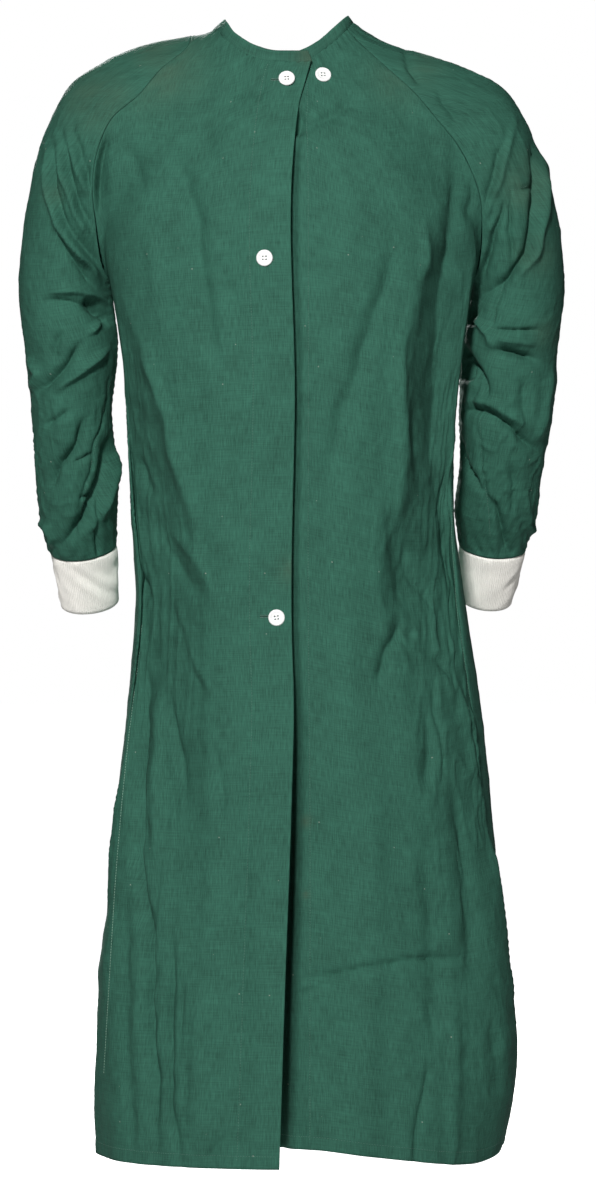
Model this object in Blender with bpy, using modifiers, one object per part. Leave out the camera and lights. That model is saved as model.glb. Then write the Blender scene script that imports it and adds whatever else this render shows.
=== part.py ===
"""Surgical gown, opening at the back, raglan sleeves, ribbed cuffs, hollow and filled out as when worn.

Frame: +Z up, the back with its opening faces -Y, the front faces +Y, +X is on the right seen from behind.
The origin lies between the two sides of the neck, where the wearer's shoulders hold the gown up.
Every cloth piece is a thin wall on one smooth form: rounded body sections blended with two arm tubes.
"""

import math

import bmesh
import bpy
import mathutils
import numpy as np

# ---------------------------------------------------------------- driving sizes, in metres
CLOTH = 0.0015  # thickness of a cloth wall
SEAM_GAP = 0.0005  # between two pieces along a seam
CREASE_GAPS = ((0.0011, 0.035, 0.100), (0.0010, 0.007, 0.022))  # more near the underarm: gap, from, to
HEM_Z = -1.236
HEM_SIDES = {-1: -1.240, 1: -1.230}  # at the left and right side seams
UNDERARM = (0.1975, 0.001)  # x and y of the place where raglan, side and sleeve seams meet
SHOULDER_BLEND = 0.060  # how softly an arm tube joins the body at the shoulder
ARMPIT_BLEND = 0.016  # and under the arm
BLEND_HEIGHTS = (-0.25, -0.13)  # where the one gives way to the other
KNIT = 0.0020  # thickness of a cuff's and of the neckband's wall
BAND_GAP = 0.0015  # the neckband stands this far above the neckline's seam

# Body sections: reach to the left and right, depth of the back and of the front from the line of the
# sides, how far forward that line lies, and the powers of the rounded outline (2 is an ellipse).
BODY_COLUMNS = ("z", "left", "right", "back", "front", "side_y", "power", "front_power")
BODY_SECTIONS = (
    (0.030, 0.058, 0.055, 0.058, 0.062, 0.000, 2.0, 2.0),
    (0.010, 0.063, 0.064, 0.068, 0.074, 0.000, 2.0, 2.0),
    (-0.010, 0.074, 0.077, 0.076, 0.084, 0.000, 2.0, 2.0),
    (-0.030, 0.089, 0.090, 0.081, 0.090, 0.000, 2.0, 2.0),
    (-0.050, 0.105, 0.104, 0.086, 0.096, -0.001, 2.0, 2.0),
    (-0.080, 0.130, 0.126, 0.095, 0.105, -0.005, 2.1, 2.0),
    (-0.130, 0.166, 0.162, 0.107, 0.122, -0.014, 2.2, 2.0),
    (-0.180, 0.196, 0.193, 0.110, 0.138, -0.022, 2.2, 1.9),
    (-0.230, 0.206, 0.206, 0.107, 0.150, -0.030, 2.2, 1.8),
    (-0.300, 0.196, 0.198, 0.103, 0.156, -0.034, 2.2, 1.8),
    (-0.355, 0.187, 0.190, 0.104, 0.156, -0.033, 2.2, 1.8),
    (-0.444, 0.180, 0.181, 0.111, 0.148, -0.026, 2.2, 1.9),
    (-0.533, 0.174, 0.180, 0.123, 0.139, -0.014, 2.3, 2.1),
    (-0.622, 0.169, 0.191, 0.136, 0.133, -0.004, 2.3, 2.2),
    (-0.744, 0.180, 0.208, 0.148, 0.136, 0.000, 2.4, 2.3),
    (-0.877, 0.194, 0.223, 0.159, 0.146, 0.000, 2.4, 2.4),
    (-1.010, 0.203, 0.239, 0.168, 0.158, -0.002, 2.5, 2.5),
    (-1.143, 0.208, 0.250, 0.176, 0.168, -0.004, 2.5, 2.5),
    (-1.260, 0.213, 0.230, 0.182, 0.174, -0.006, 2.5, 2.5),
)

# The line of each arm from the neck to the wrist, with half the sleeve's width seen from behind (wide, for
# each side) and half its depth.
ARM_COLUMNS = ("right_x", "right_z", "left_x", "left_z", "y", "right_wide", "left_wide", "deep")
ARM_SECTIONS = (
    (0.030, -0.074, 0.030, -0.078, 0.000, 0.040, 0.038, 0.046),
    (0.100, -0.080, 0.102, -0.074, 0.000, 0.058, 0.063, 0.062),
    (0.162, -0.098, 0.163, -0.089, 0.002, 0.063, 0.065, 0.070),
    (0.186, -0.116, 0.188, -0.110, 0.004, 0.0715, 0.0725, 0.071),
    (0.207, -0.141, 0.209, -0.137, 0.006, 0.0665, 0.0665, 0.070),
    (0.238, -0.210, 0.237, -0.208, 0.014, 0.0595, 0.0570, 0.065),
    (0.253, -0.285, 0.250, -0.285, 0.026, 0.0530, 0.0525, 0.060),
    (0.246, -0.350, 0.2445, -0.350, 0.034, 0.0525, 0.0520, 0.060),
    (0.2420, -0.420, 0.2445, -0.420, 0.042, 0.0515, 0.0445, 0.058),
    (0.2370, -0.488, 0.2400, -0.488, 0.058, 0.0465, 0.0450, 0.053),
    (0.2320, -0.533, 0.2385, -0.536, 0.074, 0.0455, 0.0430, 0.047),
    (0.2290, -0.572, 0.2340, -0.574, 0.089, 0.0375, 0.0370, 0.038),
    (0.2225, -0.631, 0.2280, -0.635, 0.116, 0.0290, 0.0320, 0.033),
)
SLEEVE_END = 11  # the row of ARM_SECTIONS where a sleeve ends and its cuff starts


def column(rows, columns, name):
    return np.array([row[columns.index(name)] for row in rows])


def smooth_curve(knots, values, at):
    """Values at the places `at`, on a smooth curve through the values at the knots."""
    knots, values, at = (np.asarray(v, float) for v in (knots, values, at))
    slopes = np.gradient(values, knots, axis=0)
    i = np.clip(np.searchsorted(knots, at, side="right") - 1, 0, len(knots) - 2)
    span = knots[i + 1] - knots[i]
    t = np.clip((at - knots[i]) / span, 0, 1)
    if values.ndim > 1:
        t, span = t[..., None], span[..., None]
    rise = values[i + 1] - values[i]
    a = slopes[i] * span - rise
    b = rise - slopes[i + 1] * span
    return values[i] + t * rise + t * (1 - t) * ((1 - t) * a + t * b)


def smooth_step(value, low, high):
    t = np.clip((np.asarray(value, float) - low) / (high - low), 0, 1)
    return t * t * (3 - 2 * t)


def unit(vectors):
    return vectors / np.maximum(np.linalg.norm(vectors, axis=-1, keepdims=True), 1e-12)


BODY_HEIGHTS = -column(BODY_SECTIONS, BODY_COLUMNS, "z")
BODY_VALUES = np.array([row[1:] for row in BODY_SECTIONS])


def body_section(z):
    """The columns of BODY_SECTIONS after z, at each height."""
    return np.moveaxis(smooth_curve(BODY_HEIGHTS, BODY_VALUES, -np.asarray(z, float)), -1, 0)


def body_polar(p):
    """Angle and radius of points in the body's outline, 1 on it; angle 0 is +X and -90 degrees the back."""
    left, right, back, front, side_y, power, front_power = body_section(p[..., 2])
    x = p[..., 0] / np.where(p[..., 0] < 0, left, right)
    y = p[..., 1] - side_y
    power = np.where(y < 0, power, front_power)
    y = y / np.where(y < 0, back, front)
    radius = (np.abs(x) ** power + np.abs(y) ** power) ** (1 / power)
    return np.arctan2(y, x), radius


def body_point(angle, radius, z):
    left, right, back, front, side_y, power, front_power = body_section(z)
    x, y = np.cos(angle), np.sin(angle)
    power = np.where(y < 0, power, front_power)
    size = radius / (np.abs(x) ** power + np.abs(y) ** power) ** (1 / power)
    x, y = x * size, y * size
    return np.stack((x * np.where(x < 0, left, right), y * np.where(y < 0, back, front) + side_y, z), -1)


def body_value(p):
    """About the distance from the body's form, less than 0 inside."""
    left, right, back, front, side_y, power, front_power = body_section(p[..., 2])
    wide = np.where(p[..., 0] < 0, left, right)
    y = p[..., 1] - side_y
    power = np.where(y < 0, power, front_power)
    deep = np.where(y < 0, back, front)
    x, y = np.abs(p[..., 0]) / wide + 1e-9, np.abs(y) / deep + 1e-9
    radius = (x**power + y**power) ** (1 / power)
    slope = np.hypot((x / radius) ** (power - 1) / wide, (y / radius) ** (power - 1) / deep)
    return (radius - 1) / slope


class Arm:
    """The tube of one arm, sampled closely along its line. `side` is 1 at +X and -1 at -X."""

    def __init__(self, side):
        name = "right" if side > 0 else "left"
        keys = (name + "_x", "y", name + "_z")
        line = np.stack([column(ARM_SECTIONS, ARM_COLUMNS, key) for key in keys], 1)
        line[:, 0] *= side
        self.knots = np.append(0, np.cumsum(np.linalg.norm(np.diff(line, axis=0), axis=1)))
        self.length = self.knots[-1]
        self.t = np.linspace(0, self.length, 161)
        self.centre = smooth_curve(self.knots, line, self.t)
        self.along = unit(np.gradient(self.centre, axis=0))
        forward = np.array((0.0, 1.0, 0.0))
        self.forward = unit(forward - self.along * (self.along @ forward)[:, None])
        self.outward = side * np.cross(self.along, self.forward)
        self.wide = smooth_curve(self.knots, column(ARM_SECTIONS, ARM_COLUMNS, name + "_wide"), self.t)
        self.deep = smooth_curve(self.knots, column(ARM_SECTIONS, ARM_COLUMNS, "deep"), self.t)
        self.table = np.concatenate(
            (self.centre, self.along, self.forward, self.outward, self.wide[:, None], self.deep[:, None]), 1
        )

    def at(self, t):
        step = np.clip(np.asarray(t, float) / self.length * 160, 0, 160)
        i = np.minimum(step.astype(int), 159)
        row = self.table[i] + (self.table[i + 1] - self.table[i]) * (step - i)[..., None]
        return row[..., 0:3], row[..., 3:6], row[..., 6:9], row[..., 9:12], row[..., 12], row[..., 13]

    def place(self, p):
        """How far along the arm's line the nearest place to each point is."""
        flat = p.reshape(-1, 3)
        near = ((flat[:, None, :] - self.centre[None]) ** 2).sum(2).argmin(1)
        step = ((flat - self.centre[near]) * self.along[near]).sum(1)
        return np.clip(self.t[near] + np.clip(step, -0.006, 0.006), 0, self.length).reshape(p.shape[:-1])

    def polar(self, p):
        """Place, angle and radius of points around the arm; angle 0 is outward, 90 degrees the front."""
        t = self.place(p)
        centre, _, forward, outward, wide, deep = self.at(t)
        u = ((p - centre) * outward).sum(-1) / wide
        v = ((p - centre) * forward).sum(-1) / deep
        return t, np.arctan2(v, u), np.hypot(u, v)

    def point(self, t, angle, radius=1.0):
        centre, _, forward, outward, wide, deep = self.at(t)
        u = (radius * np.cos(angle) * wide)[..., None]
        v = (radius * np.sin(angle) * deep)[..., None]
        return centre + u * outward + v * forward

    def value(self, p):
        """About the distance from the arm's form, less than 0 inside."""
        t, _, radius = self.polar(p)
        distance = np.linalg.norm(p - self.at(t)[0], axis=-1)
        return distance - distance / np.maximum(radius, 1e-6)


ARMS = {1: Arm(1), -1: Arm(-1)}


def form_value(p):
    """The gown's smooth form: body and arms blended, softly at the shoulder and tightly under the arm."""
    body = body_value(p)
    arm = np.where(p[..., 0] > 0, ARMS[1].value(p), ARMS[-1].value(p))
    blend = ARMPIT_BLEND + (SHOULDER_BLEND - ARMPIT_BLEND) * smooth_step(p[..., 2], *BLEND_HEIGHTS)
    share = np.clip(0.5 + 0.5 * (arm - body) / blend, 0, 1)
    return arm * (1 - share) + body * share - blend * share * (1 - share)


def form_slope(p, step=2e-4):
    value = form_value(p)
    slope = [(form_value(p + step * axis) - value) / step for axis in np.eye(3)]
    return value, np.stack(slope, -1)


def form_normal(p):
    return unit(form_slope(p)[1])


def on_form(p, rounds=6, farthest=0.02):
    """Points moved along the form's slope until they lie on it."""
    for _ in range(rounds):
        value, slope = form_slope(p)
        move = value / np.maximum((slope**2).sum(-1), 0.05)
        p = p - np.clip(move, -farthest, farthest)[..., None] * slope
    return p


# ---------------------------------------------------------------- seams and edges
# The neckline's seam, and the neckband's free edge above it, all the way round from the edge of the left
# back, past the left side, the front and the right side, to the hidden edge of the right back.
NECK_COLUMNS = ("x", "y", "z", "top_x", "top_y", "top_z")
NECK = (
    (0.0228, -0.084, -0.0455, 0.0190, -0.0780, -0.0355),
    (0.0000, -0.086, -0.0480, 0.0000, -0.0790, -0.0362),
    (-0.0190, -0.0845, -0.0466, -0.0180, -0.0780, -0.0350),
    (-0.0380, -0.0790, -0.0418, -0.0355, -0.0730, -0.0298),
    (-0.0580, -0.0630, -0.0305, -0.0535, -0.0580, -0.0195),
    (-0.0715, -0.0360, -0.0165, -0.0640, -0.0320, -0.0065),
    (-0.0805, -0.0040, -0.0045, -0.0700, -0.0030, 0.0042),
    (-0.0800, 0.0220, -0.0075, -0.0690, 0.0200, 0.0010),
    (-0.0670, 0.0520, -0.0270, -0.0585, 0.0480, -0.0175),
    (-0.0450, 0.0750, -0.0530, -0.0400, 0.0700, -0.0425),
    (-0.0200, 0.0870, -0.0750, -0.0175, 0.0815, -0.0640),
    (0.0000, 0.0900, -0.0810, 0.0000, 0.0845, -0.0698),
    (0.0200, 0.0870, -0.0745, 0.0175, 0.0815, -0.0635),
    (0.0430, 0.0740, -0.0500, 0.0380, 0.0690, -0.0395),
    (0.0600, 0.0510, -0.0200, 0.0540, 0.0470, -0.0105),
    (0.0690, 0.0250, 0.0020, 0.0630, 0.0230, 0.0105),
    (0.0705, -0.0050, 0.0085, 0.0660, -0.0040, 0.0150),
    (0.0592, -0.0420, -0.0080, 0.0545, -0.0380, 0.0018),
    (0.0494, -0.0580, -0.0185, 0.0455, -0.0530, -0.0080),
    (0.0350, -0.0720, -0.0310, 0.0325, -0.0670, -0.0205),
    (0.0174, -0.0820, -0.0425, 0.0165, -0.0760, -0.0305),
    (0.0000, -0.0850, -0.0478, 0.0000, -0.0785, -0.0362),
    (-0.0230, -0.0830, -0.0465, -0.0220, -0.0770, -0.0350),
    (-0.0470, -0.0740, -0.0385, -0.0435, -0.0680, -0.0270),
)
NECK_PARTS = {  # the first and last row of NECK along each piece
    "back_left": (0, 7),
    "sleeve_left": (7, 9),
    "front": (9, 15),
    "sleeve_right": (15, 17),
    "back_right": (17, 23),
}

# Raglan seams from the neckline to the underarm, between those two ends.
RAGLAN_COLUMNS = ("x", "y", "z")
RAGLANS = {
    ("back", -1): (
        (-0.0999, 0.005, -0.0085),
        (-0.1175, -0.050, -0.0300),
        (-0.1370, -0.065, -0.0411),
        (-0.1755, -0.080, -0.0834),
        (-0.1940, -0.080, -0.1000),
        (-0.2070, -0.078, -0.1270),
        (-0.2170, -0.070, -0.1570),
        (-0.2160, -0.058, -0.1970),
        (-0.2100, -0.038, -0.2380),
        (-0.2060, -0.022, -0.2660),
    ),
    ("back", 1): (
        (0.1042, -0.070, -0.0375),
        (0.1470, -0.085, -0.0822),
        (0.1765, -0.085, -0.1214),
        (0.1930, -0.080, -0.1430),
        (0.2030, -0.075, -0.1680),
        (0.2110, -0.065, -0.1950),
        (0.2110, -0.048, -0.2240),
        (0.2075, -0.026, -0.2630),
    ),
    ("front", -1): (
        (-0.0640, 0.080, -0.0700),
        (-0.0920, 0.085, -0.0900),
        (-0.1250, 0.080, -0.1150),
        (-0.1500, 0.070, -0.1400),
        (-0.1650, 0.062, -0.1680),
        (-0.1770, 0.050, -0.2020),
        (-0.1860, 0.034, -0.2380),
        (-0.1920, 0.017, -0.2660),
    ),
    ("front", 1): (
        (0.0850, 0.050, -0.0200),
        (0.1050, 0.070, -0.0500),
        (0.1280, 0.076, -0.0920),
        (0.1470, 0.071, -0.1400),
        (0.1620, 0.064, -0.1680),
        (0.1750, 0.052, -0.2020),
        (0.1850, 0.036, -0.2400),
        (0.1915, 0.019, -0.2680),
    ),
}

# The back's opening edges: the left back's outer edge, which shows, and the right back's edge beneath it.
EDGE_COLUMNS = ("z", "outer_x", "under_x")
OPENING_EDGES = (
    (-0.0455, 0.0228, -0.0470),
    (-0.0700, 0.0165, -0.0470),
    (-0.0920, 0.0108, -0.0470),
    (-0.1350, 0.0054, -0.0465),
    (-0.4170, 0.0054, -0.0460),
    (-0.6650, 0.0021, -0.0460),
    (-0.7400, 0.0043, -0.0450),
    (-0.8470, 0.0021, -0.0440),
    (-1.0600, -0.0053, -0.0440),
    (-1.2400, -0.0107, -0.0440),
)

CORNER_FROM = 0.9  # the opening edges bend towards their corners from this far down
OUTER_CORNER_DROP = 0.002  # the left back's corner hangs below HEM_Z
UNDER_CORNER_RISE = 0.015  # and the right back's hidden corner stands above it
HEM_WAVE = ((0, 0.0), (0.18, 0.004), (0.38, -0.004), (0.68, -0.014), (0.88, -0.006), (1, 0.0))  # right back

# Side seams, a little behind the middle of each side: how far forward they lie.
SIDE_COLUMNS = ("z", "left_y", "right_y")
SIDE_SEAMS = (
    (-0.268, 0.010, 0.010),
    (-0.330, 0.002, 0.000),
    (-0.440, -0.018, -0.020),
    (-0.560, -0.036, -0.044),
    (-0.680, -0.048, -0.062),
    (-0.860, -0.050, -0.062),
    (-1.040, -0.038, -0.050),
    (-1.240, -0.026, -0.030),
)

SEWN_ROWS = 5.0  # rows of a grid that bend towards a seam or hem across their ends
ROWS_RAGLAN = 10
ROWS_BELOW = 24
COLUMNS_BACK = 17
COLUMNS_FRONT = 24
COLUMNS_SLEEVE = 24
ROWS_SLEEVE = 14


def along_curve(points, count):
    """`count` places spread evenly along a smooth curve through the points."""
    points = np.asarray(points, float)
    knots = np.append(0, np.cumsum(np.linalg.norm(np.diff(points, axis=0), axis=1)))
    fine = smooth_curve(knots, points, np.linspace(0, knots[-1], 400))
    length = np.append(0, np.cumsum(np.linalg.norm(np.diff(fine, axis=0), axis=1)))
    share = np.linspace(0, 1, count)
    return np.stack([np.interp(share * length[-1], length, fine[:, i]) for i in range(3)], 1)


NECK_TABLE = np.array(NECK)
NECK_KNOTS = np.append(0, np.cumsum(np.linalg.norm(np.diff(NECK_TABLE[:, :3], axis=0), axis=1)))


def neck_places(name, count):
    first, last = NECK_PARTS[name]
    return np.linspace(NECK_KNOTS[first], NECK_KNOTS[last], count)


def neck_points(name, count):
    """Places on the form along one piece's share of the neckline."""
    return on_form(smooth_curve(NECK_KNOTS, NECK_TABLE[:, :3], neck_places(name, count)))


def underarm(side):
    """The lowest place of the web between body and arm, straight above these x and y."""
    low, high = -0.34, -0.20
    for _ in range(30):
        middle = (low + high) / 2
        inside = form_value(np.array([(side * UNDERARM[0], UNDERARM[1], middle)]))[0] < 0
        low, high = (low, middle) if inside else (middle, high)
    return np.array((side * UNDERARM[0], UNDERARM[1], middle))


def raglan(face, side, count):
    sleeve = neck_points("sleeve_right" if side > 0 else "sleeve_left", 3)
    start = sleeve[-1] if (face == "back") == (side > 0) else sleeve[0]
    middle = on_form(np.array(RAGLANS[face, side]))
    return on_form(along_curve([start, *middle, underarm(side)], count))


def side_seam(side, heights):
    """Points of a side seam at these heights, from just under the underarm to the hem."""
    z = np.asarray(heights)
    place = column(SIDE_SEAMS, SIDE_COLUMNS, "right_y" if side > 0 else "left_y")
    y = smooth_curve(-column(SIDE_SEAMS, SIDE_COLUMNS, "z"), place, -z)
    wide = body_section(z)[1 if side > 0 else 0]
    angle, _ = body_polar(np.stack((side * wide, y, z), 1))
    return on_form(body_point(angle, np.ones_like(z), z))


def opening_edge(name, heights):
    place = column(OPENING_EDGES, EDGE_COLUMNS, name)
    x = smooth_curve(-column(OPENING_EDGES, EDGE_COLUMNS, "z"), place, -heights)
    section = body_section(heights)
    y = section[4] - section[2] * 0.99
    return on_form(np.stack((x, y, heights), 1))


# ---------------------------------------------------------------- folds and laps
# Folds in the drape, each from one place to the next as seen from behind or in front: half its width, and
# its depth, less than 0 for a ridge. "body" and "sleeve" say which pieces it bends.
FOLD_COLUMNS = ("piece", "face", "x0", "z0", "x1", "z1", "width", "depth")
FOLDS = (
    ("body", "back", -0.139, -0.116, -0.096, -0.250, 0.018, 0.0030),
    ("body", "back", -0.096, -0.250, -0.084, -0.370, 0.020, 0.0025),
    ("body", "back", -0.172, -0.360, -0.118, -0.610, 0.022, 0.0060),
    ("body", "back", -0.118, -0.610, -0.078, -0.760, 0.022, 0.0035),
    ("body", "back", -0.154, -0.690, -0.160, -1.160, 0.013, 0.0050),
    ("body", "back", -0.120, -0.640, -0.126, -1.300, 0.015, 0.0065),
    ("body", "back", -0.180, -0.700, -0.196, -1.100, 0.012, -0.0030),
    ("body", "back", 0.102, -0.230, 0.104, -0.440, 0.016, 0.0035),
    ("body", "back", 0.149, -0.150, 0.140, -0.360, 0.014, 0.0030),
    ("body", "back", 0.125, -0.420, 0.150, -0.640, 0.024, 0.0050),
    ("body", "back", 0.110, -0.640, 0.190, -0.790, 0.016, 0.0040),
    ("body", "back", 0.150, -0.820, 0.165, -1.300, 0.020, 0.0040),
    ("body", "front", -0.110, -0.260, -0.120, -0.620, 0.022, 0.0045),
    ("body", "front", 0.118, -0.250, 0.112, -0.600, 0.022, 0.0045),
    ("body", "front", 0.010, -0.700, 0.004, -1.300, 0.026, 0.0070),
    ("body", "front", -0.105, -0.660, -0.122, -1.300, 0.024, 0.0065),
    ("body", "front", 0.112, -0.640, 0.132, -1.300, 0.024, 0.0070),
    ("body", "front", -0.052, -0.780, -0.058, -1.300, 0.018, -0.0045),
    ("body", "front", 0.064, -0.760, 0.070, -1.300, 0.018, -0.0045),
    ("sleeve", "back", -0.258, -0.120, -0.222, -0.250, 0.011, 0.0040),
    ("sleeve", "back", -0.275, -0.190, -0.222, -0.290, 0.012, 0.0045),
    ("sleeve", "back", -0.262, -0.420, -0.205, -0.350, 0.012, 0.0045),
    ("sleeve", "back", -0.270, -0.330, -0.210, -0.312, 0.010, 0.0035),
    ("sleeve", "back", -0.245, -0.520, -0.200, -0.500, 0.012, 0.0035),
    ("sleeve", "back", 0.250, -0.150, 0.264, -0.226, 0.011, 0.0040),
    ("sleeve", "back", 0.264, -0.226, 0.222, -0.296, 0.011, 0.0050),
    ("sleeve", "back", 0.215, -0.358, 0.280, -0.370, 0.011, 0.0045),
    ("sleeve", "back", 0.202, -0.430, 0.275, -0.466, 0.011, 0.0035),
    ("sleeve", "front", -0.262, -0.300, -0.215, -0.330, 0.014, 0.0050),
    ("sleeve", "front", -0.260, -0.400, -0.212, -0.385, 0.013, 0.0045),
    ("sleeve", "front", 0.262, -0.310, 0.216, -0.330, 0.014, 0.0050),
    ("sleeve", "front", 0.258, -0.400, 0.212, -0.390, 0.013, 0.0045),
)
LAP = 0.0034  # between the middles of the two backs where one lies over the other
LAP_ENDS = (-0.100, -0.060, 0.034, 0.070)  # x where the lap starts, is full, is full still and ends
LAP_BEHIND = -0.02  # only the cloth behind this y laps
DROOP_COLUMNS = ("most", "from_z", "to_z", "x", "width")
OUTER_LIFT = (0.010, -0.80, -1.24, -0.010, 0.055)
UNDER_DROP = (0.034, -0.78, -1.20, -0.030, 0.062)


def fold_depth(p, normal, piece):
    """How far the cloth moves along its normal at points of one kind of piece, inwards above 0."""
    total = np.zeros(p.shape[:-1])
    for kind, face, x0, z0, x1, z1, width, depth in FOLDS:
        if kind != piece:
            continue
        start, run = np.array((x0, z0)), np.array((x1 - x0, z1 - z0))
        reach = np.hypot(*run)
        off = p[..., [0, 2]] - start
        t = (off @ run) / reach**2
        side = np.linalg.norm(off - np.clip(t, 0, 1)[..., None] * run, axis=-1)
        facing = normal[..., 1] * (1 if face == "front" else -1)
        ends = smooth_step(t, -0.15, 0.25) * (1 - smooth_step(t, 0.75, 1.15))
        total += depth * np.exp(-((side / width) ** 2)) * ends * smooth_step(facing, 0.05, 0.45)
    return total


def lap_offset(p, over):
    """The outer back stands off the one beneath it; from the hips down that one falls away inwards."""
    x, z = p[..., 0], p[..., 2]
    lapped = smooth_step(x, *LAP_ENDS[:2]) * (1 - smooth_step(x, *LAP_ENDS[2:]))
    most, from_z, to_z, middle, width = OUTER_LIFT if over else UNDER_DROP
    droop = most * smooth_step(-z, -from_z, -to_z) * np.exp(-(((x - middle) / width) ** 2))
    return (LAP / 2 * lapped + droop) * (p[..., 1] < LAP_BEHIND) * (1 if over else -1)


def draped(grid, piece, fade, over=None):
    """A grid of the form's points moved along their normals by the folds, and by the lap of the backs."""
    normal = form_normal(grid)
    move = -fold_depth(grid, normal, piece) * fade
    if over is not None:
        move = move + lap_offset(grid, over)
    return grid + move[..., None] * normal


def seam_fade(rows, columns, top, bottom, left, right, reach=2.0):
    """1 inside a grid, falling to 0 at its sewn edges."""
    i, j = np.arange(rows)[:, None], np.arange(columns)[None, :]
    fade = np.ones((rows, columns))
    for sewn, steps in ((top, i), (bottom, rows - 1 - i), (left, j), (right, columns - 1 - j)):
        if sewn:
            fade = fade * smooth_step(steps / reach, 0, 1)
    return fade


# ---------------------------------------------------------------- cut pieces as grids of points
def body_grid(top, first, last, columns, lowest, hem=None):
    """A body panel: rows from its top seam to the hem, each round the form from `first` to `last`.

    Angles are read from `lowest` up, so that none of them jumps inside the panel.
    """
    s = np.linspace(0, 1, columns)
    angle0, radius0 = body_polar(first)
    angle1, radius1 = body_polar(last)
    angle0 = np.mod(angle0 - lowest, 2 * math.pi) + lowest
    angle1 = np.mod(angle1 - lowest, 2 * math.pi) + lowest
    angle = angle0[:, None] * (1 - s) + angle1[:, None] * s
    height = first[:, 2, None] * (1 - s) + last[:, 2, None] * s
    radius = 1 + (radius0 - 1)[:, None] * (1 - s) ** 3 + (radius1 - 1)[:, None] * s**3
    guess = body_point(angle, radius, height)
    guess += (first - guess[:, 0])[:, None] * (1 - s)[None, :, None]
    guess += (last - guess[:, -1])[:, None] * s[None, :, None]
    rows = np.arange(len(first))
    fade = np.clip(1 - rows / SEWN_ROWS, 0, 1) ** 2
    guess += fade[:, None, None] * (top - guess[0])[None]
    if hem is not None:
        rise = np.clip(1 - rows[::-1] / SEWN_ROWS, 0, 1) ** 2
        guess[..., 2] += rise[:, None] * smooth_curve(*zip(*hem), s)[None]
    grid = on_form(guess)
    grid[:, 0], grid[:, -1], grid[0] = first, last, top
    return grid


def below_heights(from_z, hem_z):
    """Heights of the rows under the underarm, close together at first."""
    steps = np.linspace(0, 1, ROWS_BELOW + 1)[1:]
    return from_z + (hem_z - from_z) * (0.30 * steps + 0.70 * steps**1.35)


def body_sides(side, face):
    armpit = underarm(side)
    seam = side_seam(side, below_heights(armpit[2], HEM_SIDES[side]))
    return np.concatenate((raglan(face, side, ROWS_RAGLAN + 1), seam))


def opening_side(name, outer):
    """The opening edge's points, at heights that spread evenly down to the hem as the other side's do."""
    top = NECK[0][2] if name == "outer_x" else NECK[-1][2]
    bottom = HEM_Z - OUTER_CORNER_DROP if name == "outer_x" else HEM_Z + UNDER_CORNER_RISE
    share = np.linspace(0, 1, ROWS_RAGLAN + 1)
    upper = top + (outer[ROWS_RAGLAN, 2] - top) * share
    lower = outer[ROWS_RAGLAN + 1 :, 2]
    lower = lower + (bottom - lower[-1]) * smooth_step(-lower, CORNER_FROM, -lower[-1])
    points = opening_edge(name, np.append(upper, lower))
    points[0] = on_form(np.array([NECK[0][:3] if name == "outer_x" else NECK[-1][:3]]))[0]
    return points


def back_left_grid():
    outer = body_sides(-1, "back")
    inner = opening_side("outer_x", outer)
    top = neck_points("back_left", COLUMNS_BACK)
    top[0], top[-1] = inner[0], outer[0]
    grid = body_grid(top, inner, outer, COLUMNS_BACK, -2 * math.pi)
    fade = seam_fade(*grid.shape[:2], True, False, False, True)
    return draped(grid, "body", fade, over=True)


def back_right_grid():
    outer = body_sides(1, "back")
    inner = opening_side("under_x", outer)
    top = neck_points("back_right", COLUMNS_BACK + 2)[::-1]
    top[0], top[-1] = inner[0], outer[0]
    grid = body_grid(top, inner, outer, COLUMNS_BACK + 2, -math.pi, HEM_WAVE)
    fade = seam_fade(*grid.shape[:2], True, False, False, True)
    return draped(grid, "body", fade, over=False)


def front_grid():
    left, right = body_sides(-1, "front"), body_sides(1, "front")
    top = neck_points("front", COLUMNS_FRONT + 1)
    top[0], top[-1] = left[0], right[0]
    grid = body_grid(top, left, right, COLUMNS_FRONT + 1, -math.pi / 2)
    fade = seam_fade(*grid.shape[:2], True, False, True, True)
    return draped(grid, "body", fade)


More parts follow.
